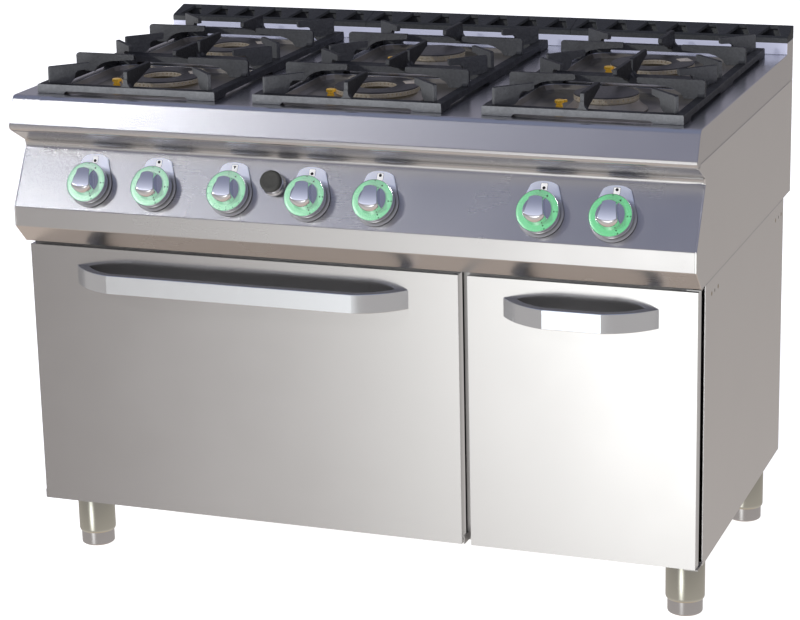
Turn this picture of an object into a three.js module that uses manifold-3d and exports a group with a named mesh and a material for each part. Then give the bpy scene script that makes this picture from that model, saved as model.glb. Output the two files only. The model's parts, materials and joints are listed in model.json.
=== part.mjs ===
// Commercial gas range: six open burners with cast grates, an oven below on the left and a
// neutral cupboard below on the right, on four adjustable feet. Millimetres, +X right, +Y
// towards the back, +Z up. Dimensions are in a working frame whose y = 0 is the front face of
// the doors; the group is shifted along Y by ORIGIN_Y, so that the finished origin is the
// centre of the footprint, on the floor.
import * as THREE from "three";
import { mergeVertices } from "three/addons/utils/BufferGeometryUtils.js";
import Module from "manifold-3d";

const wasm = await Module();
wasm.setup();

// ------------------------------------------------------------------ driving dimensions
const ORIGIN_Y = -313.506;
const WIDTH = 1200;
const HALF = WIDTH / 2;
const FULL_X = [-HALF, HALF];
const SHEET_T = 3; // worktop, casing and carcass sheets
const GAP = 0.3; // clearance between neighbouring pieces

const TOP_Z = 856.3; // worktop surface
const UPSTAND_Z = 877; // top of the rear upstand
const UPSTAND_Y = 635; // front face of the rear upstand
const BACK_Y = 690; // back of the upper casing
const SEAM_Z = 802.8; // lower edge of the worktop's back skirt
const CASING_Z = 596; // underside of the upper casing

const CARCASS_FRONT = 27; // front edge of the lower cabinet
const CARCASS_BACK = 631.4;
const CARCASS_TOP = 595.4;
const CARCASS_BOTTOM = 117.1;
const ON_FLOOR_Z = CARCASS_BOTTOM + SHEET_T + GAP; // pieces standing on the cabinet floor

const COLUMN_X = [-400, 0, 400]; // burner columns
const ROW_Y = [158, 458.5]; // burner rows, front and rear

const DOOR_T = 23;
const DOOR_Z = [118.3, 589.2];
const HINGE_Y = 11.5; // both door axes lie in the middle of the door thickness
const OVEN_HINGE_Z = 125.3; // oven door pivots, horizontal axis
const CUPBOARD_HINGE_X = 586.7; // cupboard door pivots, vertical axis
const PIN_R = 3.5;

const OVEN = { x: [-530, 130], y: [31, 588], z: [205, 525], wall: 2.5 }; // cavity
const OVEN_MID_X = (OVEN.x[0] + OVEN.x[1]) / 2;
const FLUE_X = [-320, -80]; // width of the flue, in the oven back and the casing floor

// Folds of the front panel, as (y, z), from under the worktop nose down to the lower return.
const FRONT = [
  [-31.0, 795.9],
  [13.4, 771.7],
  [16.2, 761.6],
  [-39.1, 665.4],
  [-39.2, 630.8],
  [-4.0, CASING_Z],
  [44.0, CASING_Z],
];
const [UPPER_FOLD, LOWER_FOLD] = FRONT.slice(2, 4); // ends of the sloping face

// ------------------------------------------------------------------ ranges and outlines
const around = (centre, half) => [centre - half, centre + half];
const inset = ([low, high], amount) => [low + amount, high - amount];

// points on an elliptical arc; angles in degrees
const arc = ([cx, cy], [rx, ry], [from, to], steps) =>
  Array.from({ length: steps + 1 }, (_, i) => {
    const angle = THREE.MathUtils.degToRad(from + ((to - from) * i) / steps);
    return [cx + rx * Math.cos(angle), cy + ry * Math.sin(angle)];
  });

const closed = (profile) => [...profile, profile[0]];

// outline of a folded sheet: the given path and its copy offset to the left of its direction
function foldedSheet(path, thickness) {
  const normals = path.slice(1).map(([a, b], i) => {
    const da = a - path[i][0];
    const db = b - path[i][1];
    const length = Math.hypot(da, db);
    return [-db / length, da / length];
  });
  const offset = path.map(([a, b], i) => {
    const before = normals[i - 1] ?? normals[i];
    const after = normals[i] ?? before;
    const scale = thickness / (1 + before[0] * after[0] + before[1] * after[1]);
    return [a + (before[0] + after[0]) * scale, b + (before[1] + after[1]) * scale];
  });
  return [...path, ...offset.reverse()];
}

// ------------------------------------------------------------------ solids
const X = new THREE.Vector3(1, 0, 0);
const Y = new THREE.Vector3(0, 1, 0);
const Z = new THREE.Vector3(0, 0, 1);
const FORWARD = new THREE.Vector3(0, -1, 0);
const frame = (a, b, c, origin) => new THREE.Matrix4().makeBasis(a, b, c).setPosition(...origin);
const shift = (x, y, z) => new THREE.Matrix4().makeTranslation(x, y, z);

// three.js geometry to a Manifold, welded and turned outside out
function solid(geometry, matrix) {
  const flat = geometry.index ? geometry.toNonIndexed() : geometry;
  const bare = new THREE.BufferGeometry();
  bare.setAttribute("position", flat.getAttribute("position").clone());
  bare.applyMatrix4(matrix);
  const merged = mergeVertices(bare, 1e-4);
  const triangles = [];
  for (let i = 0; i < merged.index.count; i += 3) {
    const [a, b, c] = [0, 1, 2].map((k) => merged.index.getX(i + k));
    if (a !== b && b !== c && c !== a) triangles.push([a, b, c]);
  }
  const build = (faces) =>
    new wasm.Manifold(
      new wasm.Mesh({
        numProp: 3,
        vertProperties: new Float32Array(merged.attributes.position.array),
        triVerts: new Uint32Array(faces.flat()),
      }),
    );
  const result = build(triangles);
  return result.volume() < 0 ? build(triangles.map(([a, b, c]) => [a, c, b])) : result;
}

const union = (...parts) => parts.flat().reduce((sum, part) => sum.add(part));
const cut = (body, ...tools) => tools.flat().reduce((rest, tool) => rest.subtract(tool), body);

const box = ([x0, x1], [y0, y1], [z0, z1]) =>
  solid(
    new THREE.BoxGeometry(x1 - x0, y1 - y0, z1 - z0),
    shift((x0 + x1) / 2, (y0 + y1) / 2, (z0 + z1) / 2),
  );

const shapeOf = (outline) => new THREE.Shape(outline.map(([a, b]) => new THREE.Vector2(a, b)));
const extrude = (outline, depth, matrix) =>
  solid(new THREE.ExtrudeGeometry(shapeOf(outline), { depth, bevelEnabled: false }), matrix);
// outline in (y, z), swept along X
const alongX = (outline, [x0, x1]) => extrude(outline, x1 - x0, frame(Y, Z, X, [x0, 0, 0]));
// outline in (x, z), swept along Y
const alongY = (outline, [y0, y1]) => extrude(outline, y1 - y0, frame(X, Z, FORWARD, [0, y1, 0]));
// outline in (x, y), swept along Z
const alongZ = (outline, [z0, z1]) => extrude(outline, z1 - z0, shift(0, 0, z0));

// straight round bar between two points
function rod(start, end, radius, segments) {
  const from = new THREE.Vector3(...start);
  const to = new THREE.Vector3(...end);
  const along = to.clone().sub(from);
  const length = along.length();
  const turn = new THREE.Quaternion().setFromUnitVectors(Y, along.normalize());
  const middle = from.add(to).multiplyScalar(0.5);
  return solid(
    new THREE.CylinderGeometry(radius, radius, length, segments),
    new THREE.Matrix4().compose(middle, turn, new THREE.Vector3(1, 1, 1)),
  );
}

// solid of revolution about Z; profile in (radius, z)
function lathe(profile, segments, x = 0, y = 0) {
  const points = profile.map(([r, z]) => new THREE.Vector2(r, z));
  return solid(
    new THREE.LatheGeometry(points, segments, Math.PI / segments),
    shift(x, y, 0).multiply(new THREE.Matrix4().makeRotationX(Math.PI / 2)),
  );
}

// ------------------------------------------------------------------ materials and placing
const FINISH = {
  stainless: { color: 0xb9b8b6, roughness: 0.32, metalness: 1.0 },
  panel: { color: 0x9c9eac, roughness: 0.28, metalness: 1.0 },
  chrome: { color: 0xd4d6dc, roughness: 0.12, metalness: 1.0 },
  castIron: { color: 0x34383a, roughness: 0.75, metalness: 0.5 },
  crown: { color: 0x4c4c55, roughness: 0.55, metalness: 0.4 },
  alloy: { color: 0xa99f8b, roughness: 0.5, metalness: 0.8 },
  brass: { color: 0xb98f3a, roughness: 0.35, metalness: 1.0 },
  enamel: { color: 0x2a2c30, roughness: 0.4, metalness: 0.1 },
  zinc: { color: 0x9a9c9e, roughness: 0.45, metalness: 0.9 },
  handle: { color: 0xbfc5cb, roughness: 0.25, metalness: 0.9 },
  foot: { color: 0xb1ada5, roughness: 0.25, metalness: 1.0 },
  rubberised: { color: 0x3d3d3a, roughness: 0.8, metalness: 0.0 },
};

const range = new THREE.Group();
range.name = "gas_range";

function groupAt(x, y, z, parent = range) {
  const group = new THREE.Group();
  group.position.set(x, y, z);
  parent.add(group);
  return group;
}

// `origin` is the point of the shape that becomes the mesh's own origin
function place(name, shape, finish, origin, parent = range, position = origin) {
  const { vertProperties, triVerts } = shape.getMesh();
  const geometry = new THREE.BufferGeometry();
  const points = new Float32Array(vertProperties);
  geometry.setAttribute("position", new THREE.BufferAttribute(points, 3));
  geometry.setIndex(new THREE.BufferAttribute(new Uint32Array(triVerts), 1));
  geometry.translate(...origin.map((value) => -value));
  const mesh = new THREE.Mesh(geometry, new THREE.MeshStandardMaterial(FINISH[finish]));
  mesh.name = name;
  mesh.position.set(...position);
  parent.add(mesh);
}

// ------------------------------------------------------------------ worktop
// One pressed sheet: drip nose, flat top with six shallow basins, rear upstand, skirts.
const BASIN = { x: 290, y: 264, depth: 12, corner: 34, slope: 16 };
const BURNER_HOLE_R = 47;
const VENTS = [
  // name, x range
  ["left", [-594, -200.4]],
  ["middle", [-199.6, 199.6]],
  ["right", [200.4, 594]],
];

// outlines in (y, z)
const TOP_OUTLINE = [
  [BACK_Y, SEAM_Z], [BACK_Y, UPSTAND_Z],
  [UPSTAND_Y, UPSTAND_Z], [UPSTAND_Y, TOP_Z],
  [-12.4, TOP_Z], [-17.6, 854.9], [-21.5, 851.1], [-40.0, 810.4], [-40.3, 805.5],
  [-38.6, 800.8], [-35.4, 798.3], [-20.0, 798.3], [-20.0, SEAM_Z],
];
const TOP_VOID = [
  [BACK_Y - SHEET_T, 780], [BACK_Y - SHEET_T, UPSTAND_Z - SHEET_T],
  [UPSTAND_Y + SHEET_T, UPSTAND_Z - SHEET_T], [UPSTAND_Y + SHEET_T, TOP_Z - SHEET_T],
  [-10.5, TOP_Z - SHEET_T], [-18.6, 850.0], [-36.9, 810.0], [-37.3, 805.7],
  [-34.5, 801.3], [-20.0, 801.3], [-20.0, 780],
];

function roundedRect(width, depth, radius, steps) {
  const x = width / 2 - radius;
  const y = depth / 2 - radius;
  return [[x, y], [-x, y], [-x, -y], [x, -y]].flatMap((centre, i) =>
    arc(centre, [radius, radius], [90 * i, 90 * i + 90], steps),
  );
}

// A basin is the lower end of a bevelled extrusion: full size at the worktop, `slope` smaller
// all round at its floor. `offset` grows and lowers it by the sheet thickness.
function basin([x, y], offset) {
  const { slope, corner, depth } = BASIN;
  const shrink = 2 * (offset - slope);
  const floor = roundedRect(BASIN.x + shrink, BASIN.y + shrink, corner - slope + offset, 3);
  const geometry = new THREE.ExtrudeGeometry(shapeOf(floor), {
    depth: 8,
    bevelEnabled: true,
    bevelThickness: depth,
    bevelSize: slope,
    bevelSegments: 2,
  });
  return solid(geometry, shift(x, y, TOP_Z - offset));
}

function worktop() {
  const centres = COLUMN_X.flatMap((x) => ROW_Y.map((y) => [x, y]));
  let outer = alongX(TOP_OUTLINE, FULL_X);
  let inner = alongX(TOP_VOID, inset(FULL_X, SHEET_T));
  for (const centre of centres) {
    outer = cut(outer, basin(centre, 0));
    inner = cut(inner, basin(centre, SHEET_T));
  }
  return cut(
    outer,
    inner,
    centres.map(([x, y]) => rod([x, y, 830], [x, y, 850], BURNER_HOLE_R, 16)),
    // slots under the vent castings
    VENTS.map(([, x]) => box(inset(x, 40), inset([UPSTAND_Y, BACK_Y], 12), [870, 880])),
  );
}
place("worktop", worktop(), "stainless", [0, UPSTAND_Y, TOP_Z]);

// ------------------------------------------------------------------ rear vent castings
const VENT = { top: 900, bottom: UPSTAND_Z + GAP, wall: 5, endWall: 6, slots: 7 };

function ventGrille(spanX) {
  const { top, bottom, wall } = VENT;
  const innerFront = UPSTAND_Y + wall;
  const innerBack = BACK_Y - wall;
  const outline = [
    [UPSTAND_Y, bottom], [UPSTAND_Y, 886], [639, 888.5],
    [683, top], [BACK_Y, top], [BACK_Y, bottom],
  ];
  const hollow = [
    [innerFront, bottom - 5], [innerFront, 884], [684, top - wall],
    [innerBack, top - wall], [innerBack, bottom - 5],
  ];
  const pitch = (spanX[1] - spanX[0]) / VENT.slots;
  // tapered slots, wide at the front
  const slots = Array.from({ length: VENT.slots }, (_, i) => {
    const x = spanX[0] + pitch * (i + 0.5);
    return alongZ([[x - 22, 641], [x + 22, 641], [x + 7, 681], [x - 7, 681]], [870, 905]);
  });
  return cut(alongX(outline, spanX), alongX(hollow, inset(spanX, VENT.endWall)), slots);
}
for (const [side, x] of VENTS)
  place("vent_grille_" + side, ventGrille(x), "castIron", [(x[0] + x[1]) / 2, 662, UPSTAND_Z]);

// ------------------------------------------------------------------ upper casing
const CASING_TOP = SEAM_Z - 0.6;
// outlines in (y, z)
const CASING_SIDE = [
  [BACK_Y, CASING_TOP], [-19.5, CASING_TOP], [-19.5, 797.9], [-33.0, 797.9], [-33.0, 797.0],
  ...FRONT.slice(1, 6),
  [BACK_Y, CASING_Z],
];
// hollow between the two side plates, open at the top and at the front
const CASING_VOID = [
  [BACK_Y - SHEET_T, 820], [BACK_Y - SHEET_T, CASING_Z + SHEET_T],
  [46, CASING_Z + SHEET_T], [46, 580], [-60, 580], [-60, 820],
];
const upperCasing = cut(
  alongX(CASING_SIDE, FULL_X),
  alongX(CASING_VOID, inset(FULL_X, SHEET_T)),
  box(FLUE_X, [540, 620], [590, 605]), // flue passage from the oven
  box([250, 560], [200, 520], [590, 605]), // service opening over the cupboard
);
place("upper_casing", upperCasing, "stainless", [0, BACK_Y, CASING_Z]);

// ------------------------------------------------------------------ front control panel
// Everything on the panel sits in a group turned to the slope: local x along the range,
// local y up the slope from its lower fold, local z out of the panel.
const PANEL_T = 2.5;
const PANEL_END_GAP = 0.4;
const KNOB_S = 45.2; // knob centres, up the slope
const KNOBS = [
  // name, x
  ["front_left", -460],
  ["rear_left", -340],
  ["oven", -200],
  ["front_middle", -60],
  ["rear_middle", 60],
  ["front_right", 340],
  ["rear_right", 460],
];
const SPINDLE_HOLE_R = 6;
const IGNITER = { x: -125, s: 67.8, holeR: 11.3, r: 18.6, face: 24 };

const slope = new THREE.Vector3(
  0,
  UPPER_FOLD[0] - LOWER_FOLD[0],
  UPPER_FOLD[1] - LOWER_FOLD[1],
).normalize();
const outward = new THREE.Vector3().crossVectors(X, slope);
const panelFrame = frame(X, slope, outward, [0, ...LOWER_FOLD]);
const onPanel = new THREE.Group();
onPanel.applyMatrix4(panelFrame);
range.add(onPanel);

const panelDrill = (x, s, radius) =>
  rod([x, s, -20], [x, s, 12], radius, 16).transform(panelFrame.elements.slice());
const controlPanel = cut(
  alongX(foldedSheet(FRONT, PANEL_T), inset(FULL_X, SHEET_T + PANEL_END_GAP)),
  KNOBS.map(([, x]) => panelDrill(x, KNOB_S, SPINDLE_HOLE_R)),
  panelDrill(IGNITER.x, IGNITER.s, IGNITER.holeR),
);
place("control_panel", controlPanel, "panel", [0, ...LOWER_FOLD]);

// ------------------------------------------------------------------ gas rail with its taps
const RAIL = { halfLength: 530, r: 12, z: -74 };
const TAP = { half: 14, z: [-66, -18], boreR: 4.6, boreZ: [-56, -5] };
const SUPPLY = { x: 516, r: 9, end: -112 }; // leg running inwards from the rail

function gasRail() {
  const { halfLength, r, z } = RAIL;
  const taps = KNOBS.map(([, x]) => box(around(x, TAP.half), around(KNOB_S, TAP.half), TAP.z));
  const [boreStart, boreEnd] = TAP.boreZ;
  const bores = KNOBS.map(([, x]) =>
    rod([x, KNOB_S, boreStart], [x, KNOB_S, boreEnd], TAP.boreR, 8),
  );
  const bar = rod([-halfLength, KNOB_S, z], [halfLength, KNOB_S, z], r, 8);
  const supply = rod([SUPPLY.x, KNOB_S, z], [SUPPLY.x, KNOB_S, SUPPLY.end], SUPPLY.r, 8);
  return union(cut(union(bar, taps), bores), supply);
}
place("gas_rail_with_taps", gasRail(), "brass", [0, KNOB_S, RAIL.z], onPanel);

// ------------------------------------------------------------------ knobs and spindles
const KNOB_R = 35.2;
const KNOB_FACE = 23.5; // dial face above the panel
const GRIP_R = 23;
const GRIP_TOP = 40.5; // front of the grip above the panel
const SPINDLE_R = 4;

// (radius, z): a cup with a bored hub inside
const KNOB_PROFILE = [
  [0, 18], [4.3, 18], [4.3, 8], [9, 8], [9, 20], [31, 20], [31, 6], [34.2, 6],
  [KNOB_R, 22.8], [KNOB_R - 0.7, KNOB_FACE], [0, KNOB_FACE],
];
// grip seen from the front: narrow upper end, waist, round base
const GRIP_OUTLINE = [
  ...arc([0, 0], [GRIP_R, GRIP_R], [62, 118], 3),
  [-11.6, 2],
  ...arc([0, 0], [GRIP_R, GRIP_R], [222, 318], 5),
  [11.6, 2],
];
const knob = () =>
  union(lathe(KNOB_PROFILE, 16), alongZ(GRIP_OUTLINE, [KNOB_FACE - 1, GRIP_TOP]));
// round spindle with a flat on its right side
const spindle = () =>
  cut(rod([0, 0, -50], [0, 0, 17.6], SPINDLE_R, 8), box([2.6, 6], [-6, 6], [2, 20]));

for (const [name, x] of KNOBS) {
  const hub = groupAt(x, KNOB_S, 0, onPanel);
  place("knob_" + name, knob(), "chrome", [0, 0, KNOB_FACE], hub);
  place("tap_spindle_" + name, spindle(), "zinc", [0, 0, 0], hub);
}

// ------------------------------------------------------------------ igniter
// profiles in (radius, z)
const IGNITER_HOUSING = closed([
  [4.5, -48], [11, -48], [11, 0.3], [19, 0.3], [19, 6], [16, 7], [16, 12.5], [4.5, 12.5],
]);
const IGNITER_BUTTON = [
  [0, -30], [4.2, -30], [4.2, 19], [16.4, 19], [16.4, 12.8], [18.2, 12.8],
  [IGNITER.r, 21.5], [16.4, IGNITER.face], [0, IGNITER.face],
];
const igniterHub = groupAt(IGNITER.x, IGNITER.s, 0, onPanel);
place("igniter_housing", lathe(IGNITER_HOUSING, 20), "chrome", [0, 0, 0], igniterHub);
place(
  "igniter_button",
  lathe(IGNITER_BUTTON, 20),
  "rubberised",
  [0, 0, IGNITER.face],
  igniterHub,
);

// ------------------------------------------------------------------ burners
const HEAD_Z = 844.6; // underside of the burner head
const MIXER = { z: 824.6, r: 12, boreR: 8 };
// profiles in (radius, z): the head's part of the body, and the crown above it
const BURNER_KINDS = {
  ring: {
    head: [[84, HEAD_Z], [84, 847], [67, 857.3], [59, 857.3], [38, 849]],
    crown: closed([
      [31.5, 857.6], [70, 857.6], [73.1, 860], [73.1, 866.3],
      [71.8, 867.6], [33, 867.6], [31.5, 866.4],
    ]),
  },
  solid: {
    head: [[66, HEAD_Z], [66, 847], [50.5, 861.2], [44, 861.2], [38, 852]],
    crown: [[0, 861.5], [51, 861.5], [53.8, 863.5], [53.8, 871.6], [52.2, 873.3], [0, 873.3]],
  },
};
const BURNERS = [
  // name, column, row, kind
  ["front_left", 0, 0, "ring"],
  ["rear_left", 0, 1, "ring"],
  ["front_middle", 1, 0, "ring"],
  ["rear_middle", 1, 1, "solid"],
  ["front_right", 2, 0, "solid"],
  ["rear_right", 2, 1, "ring"],
];

function burnerBody(head, x, y) {
  const profile = [[0, 806], [42, 806], [42, HEAD_Z], ...head, [38, 810], [0, 810]];
  // mixing tube, running forwards from the pot
  const { z, r, boreR } = MIXER;
  const tube = rod([x, y - 40, z], [x, y - 110, z], r, 8);
  const bore = rod([x, y - 30, z], [x, y - 120, z], boreR, 8);
  return cut(union(lathe(profile, 14, x, y), tube), bore);
}
for (const [name, column, row, kind] of BURNERS) {
  const x = COLUMN_X[column];
  const y = ROW_Y[row];
  const { head, crown } = BURNER_KINDS[kind];
  place("burner_body_" + name, burnerBody(head, x, y), "alloy", [x, y, HEAD_Z]);
  place("burner_crown_" + name, lathe(crown, 20, x, y), "crown", [x, y, 860]);
}

// ------------------------------------------------------------------ grates
const GRATE = {
  halfX: 332 / 2,
  halfY: 299.6 / 2,
  bar: 16, // width of the rim
  under: 861, // underside of the rim between the feet
  top: 872, // top of the rim
  tip: 900, // top of the blades
  root: 868, // foot of the blades, inside the rim
  footX: 50, // length of the corner feet
  footY: 44,
  blade: 7, // blade thickness
  reach: 52, // inner end of the straight blades, from the centre
  rearShift: -0.2, // rear grates sit this far off their row
};
const FINGER = { inner: [99, 81], outer: [156, 140] }; // (x, y) ends of a corner finger

// relief under one rim bar, leaving a foot at each end
function reliefOutline(half, foot) {
  const end = half - foot;
  return [[-end, 850], [end, 850], [end - 4, GRATE.under], [-end + 4, GRATE.under]];
}
// blade outlines are in (distance along the blade, z)
function straightOutline(half, lowerEdge) {
  const { root, tip, reach } = GRATE;
  return [[half, root], [half, 897], [half - 3, tip], [reach, tip], [reach, 891], ...lowerEdge];
}
function blade(outline, angle, [x, y] = [0, 0]) {
  const matrix = shift(x, y, 0)
    .multiply(new THREE.Matrix4().makeRotationZ(angle))
    .multiply(frame(X, Z, FORWARD, [0, GRATE.blade / 2, 0]));
  return extrude(outline, GRATE.blade, matrix);
}

function cornerFinger(signX, signY) {
  const { root, tip } = GRATE;
  const dx = FINGER.outer[0] - FINGER.inner[0];
  const dy = FINGER.outer[1] - FINGER.inner[1];
  const length = Math.hypot(dx, dy);
  const outline = [[0, tip], [length, tip], [length, root], [20, root], [9, GRATE.top]];
  const start = [signX * FINGER.inner[0], signY * FINGER.inner[1]];
  return blade(outline, Math.atan2(signY * dy, signX * dx), start);
}

function grate(x, y) {
  const { halfX, halfY, bar, root } = GRATE;
  const spanX = [-halfX, halfX];
  const spanY = [-halfY, halfY];
  const rim = cut(
    box(spanX, spanY, [TOP_Z + GAP, GRATE.top]),
    box(inset(spanX, bar), inset(spanY, bar), [800, 900]),
    alongY(reliefOutline(halfX, GRATE.footX), inset(spanY, -1)),
    alongX(reliefOutline(halfY, GRATE.footY), inset(spanX, -1)),
  );
  const sideBlade = straightOutline(halfX, [[110, 885.5], [128, 877], [134, root]]);
  const endBlade = straightOutline(halfY, [[124, 869.5], [126, root]]);
  return union(
    rim,
    blade(sideBlade, 0),
    blade(endBlade, Math.PI / 2),
    blade(sideBlade, Math.PI),
    blade(endBlade, -Math.PI / 2),
    [-1, 1].flatMap((signX) => [-1, 1].map((signY) => cornerFinger(signX, signY))),
  ).translate([x, y, 0]);
}
for (const [name, column, row] of BURNERS) {
  const x = COLUMN_X[column];
  const y = ROW_Y[row];
  const centreY = row === 1 ? y + GRATE.rearShift : y;
  place("grate_" + name, grate(x, centreY), "castIron", [x, y, TOP_Z]);
}

// ------------------------------------------------------------------ lower cabinet
const SIDE_PANEL_T = 2.5;
const CARCASS_Z = [CARCASS_BOTTOM, CARCASS_TOP];
for (const [side, edge, spanX] of [
  ["left", -HALF, [-HALF, -HALF + SIDE_PANEL_T]],
  ["right", HALF, [HALF - SIDE_PANEL_T, HALF]],
])
  place(
    "side_panel_" + side,
    box(spanX, [CARCASS_FRONT, CARCASS_BACK], CARCASS_Z),
    "stainless",
    [edge, CARCASS_FRONT, CARCASS_BOTTOM],
  );

const ovenPin = ([x0, x1], radius = PIN_R) =>
  rod([x0, HINGE_Y, OVEN_HINGE_Z], [x1, HINGE_Y, OVEN_HINGE_Z], radius, 12);
const cupboardPin = ([z0, z1], radius = PIN_R) =>
  rod([CUPBOARD_HINGE_X, HINGE_Y, z0], [CUPBOARD_HINGE_X, HINGE_Y, z1], radius, 12);

const FRAME_FRONT = CARCASS_FRONT + GAP;
function carcassFrame() {
  const innerX = inset(FULL_X, SHEET_T);
  const depth = [FRAME_FRONT, CARCASS_BACK];
  const lip = [FRAME_FRONT, FRAME_FRONT + 2];
  const bracketY = [4, lip[1]];
  const topRailZ = [CARCASS_TOP - 4, CARCASS_TOP];
  const ovenPivot = (bracketX, pinX) => [
    box(bracketX, bracketY, [CARCASS_BOTTOM + 0.4, OVEN_HINGE_Z + 7]),
    ovenPin(pinX),
  ];
  const cupboardPivot = (bracketZ, pinZ) => [
    box([574, 597], bracketY, bracketZ),
    cupboardPin(pinZ),
  ];
  return union(
    box(innerX, depth, [CARCASS_BOTTOM, CARCASS_BOTTOM + SHEET_T]), // floor
    box(innerX, [CARCASS_BACK - SHEET_T, CARCASS_BACK], CARCASS_Z), // back
    box([199, 202], depth, CARCASS_Z), // dividing wall
    box([193.5, 207.5], lip, CARCASS_Z), // its front flange
    box(innerX, [FRAME_FRONT, FRAME_FRONT + 28], topRailZ), // top rail, front
    box(innerX, [CARCASS_BACK - 40, CARCASS_BACK], topRailZ), // top rail, rear
    box(innerX, lip, [CARCASS_BOTTOM, CARCASS_BOTTOM + 6]), // front lip of the floor
    // oven door pivots at its lower corners, cupboard door pivots at its right-hand corners
    ovenPivot([-597, -594.7], [-595.5, -587]),
    ovenPivot([194, 196.3], [186, 195]),
    cupboardPivot([CARCASS_BOTTOM - 2, CARCASS_BOTTOM + 0.5], [CARCASS_BOTTOM - 1, 127]),
    cupboardPivot([DOOR_Z[1] + 1, DOOR_Z[1] + 3.2], [581, DOOR_Z[1] + 2]),
  );
}
place("carcass_frame", carcassFrame(), "stainless", [0, FRAME_FRONT, CARCASS_BOTTOM]);

// ------------------------------------------------------------------ oven
const RUNNER = { z: [285, 350, 415], t: 2.5, width: 14, y: [45, 570] };
const FLOOR_SLOT_PITCH = 120;

function ovenLiner() {
  const { x, y, z, wall } = OVEN;
  const shell = union(
    box([-590, 190], [30, 32.5], [125, 588]), // front plate
    box(inset(x, -wall), [y[0], y[1] + wall], inset(z, -wall)),
  );
  const floorSlots = [-2, -1, 0, 1, 2].map((i) =>
    box(around(OVEN_MID_X + i * FLOOR_SLOT_PITCH, 8), [120, 480], [195, 210]),
  );
  const runners = RUNNER.z.flatMap((low) => [
    box([x[0] - 1, x[0] + RUNNER.width], RUNNER.y, [low, low + RUNNER.t]),
    box([x[1] - RUNNER.width, x[1] + 1], RUNNER.y, [low, low + RUNNER.t]),
  ]);
  return union(
    cut(
      shell,
      box(x, [20, y[1]], z),
      box(FLUE_X, [540, 575], [520, 535]), // flue outlet in the roof
      floorSlots,
    ),
    runners,
    // cross walls carrying the liner
    box(x, [90, 93], [ON_FLOOR_Z, z[0] - 1]),
    box(x, [520, 523], [ON_FLOOR_Z, z[0] - 1]),
  );
}
place("oven_liner", ovenLiner(), "enamel", [OVEN_MID_X, 30, OVEN.z[0]]);

const FLAME = { y: 300, z: 165, r: 18, branchR: 11, branchEnd: 505 };
function flameTube() {
  const { y, z, r, branchR, branchEnd } = FLAME;
  const [left, right] = inset(OVEN.x, 60);
  const legs = inset(OVEN.x, 70).map((x) => box(around(x, 2), around(y, 20), [ON_FLOOR_Z, z]));
  return union(
    rod([left, y, z], [right, y, z], r, 12),
    legs,
    rod([OVEN_MID_X, y, z], [OVEN_MID_X, branchEnd, z], branchR, 10), // branch to the rear
  );
}
place("oven_flame_tube", flameTube(), "zinc", [OVEN_MID_X, FLAME.y, FLAME.z]);

// wire shelf just above the middle runners
const SHELF = { y: [52, 563], bar: 6, wireHalf: 2, bays: 12, lift: 0.8 };
const SHELF_Z = RUNNER.z[1] + RUNNER.t + SHELF.lift + SHELF.bar / 2;
function ovenShelf() {
  const { y, bar, wireHalf, bays } = SHELF;
  const [left, right] = inset(OVEN.x, 3);
  const barZ = around(SHELF_Z, bar / 2);
  const wires = Array.from({ length: bays - 1 }, (_, i) => {
    const x = left + ((right - left) * (i + 1)) / bays;
    return box(around(x, wireHalf), inset(y, 2), [SHELF_Z + 2, SHELF_Z + 6]);
  });
  return union(
    box([left, right], [y[0], y[0] + bar], barZ),
    box([left, right], [y[1] - bar, y[1]], barZ),
    box([left, left + bar], y, barZ),
    box([right - bar, right], y, barZ),
    wires,
  );
}
place("oven_shelf", ovenShelf(), "zinc", [OVEN_MID_X, SHELF.y[0] + SHELF.bar / 2, SHELF_Z]);

// ------------------------------------------------------------------ doors
const OVEN_DOOR_X = [-593.7, 192.3];
const CUPBOARD_DOOR_X = [208.6, 593.7];
const DOOR_SHEET_T = 2;
const PIN_HOLE_R = PIN_R + 0.4;
const HANDLE = { z: [525, 557.5], out: 54, band: 15, curve: 80 };
const OVEN_HANDLE_X = [-504.5, 105.5];
const CUPBOARD_HANDLE_X = [270.3, 530.3];

// door meshes keep the hinge as their origin
const placeOnDoor = (door, name, shape, finish) =>
  place(name, shape, finish, door.position.toArray(), door, [0, 0, 0]);

// pressed door front, open towards the back
const doorPan = (spanX) =>
  cut(
    box(spanX, [0, DOOR_T], DOOR_Z),
    box(inset(spanX, DOOR_SHEET_T), [DOOR_SHEET_T, DOOR_T + 5], inset(DOOR_Z, DOOR_SHEET_T)),
  );

const ovenDoorPanel = () => cut(doorPan(OVEN_DOOR_X), ovenPin([-600, 300], PIN_HOLE_R));

// back sheet with a pressed tray entering the oven mouth, hollow from the front
const ovenDoorLiner = () =>
  cut(
    union(
      box(inset(OVEN_DOOR_X, 2.3), [20, DOOR_T], inset(DOOR_Z, 2.3)),
      box(inset(OVEN.x, 5), [22, 33], inset(OVEN.z, 5)),
    ),
    box(inset(OVEN.x, 8), [15, 30.5], inset(OVEN.z, 8)),
  );

function cupboardDoorPanel() {
  const [x0, x1] = CUPBOARD_DOOR_X;
  const [z0, z1] = DOOR_Z;
  const flangeY = [DOOR_T - DOOR_SHEET_T, DOOR_T];
  const flangeX = inset(CUPBOARD_DOOR_X, 1);
  const flangeZ = inset(DOOR_Z, 1);
  return cut(
    union(
      doorPan(CUPBOARD_DOOR_X),
      box([flangeX[0], x0 + 22], flangeY, flangeZ),
      box([x1 - 22, flangeX[1]], flangeY, flangeZ),
      box(flangeX, flangeY, [flangeZ[0], z0 + 22]),
      box(flangeX, flangeY, [z1 - 22, flangeZ[1]]),
    ),
    cupboardPin([100, 600], PIN_HOLE_R),
  );
}

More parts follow.
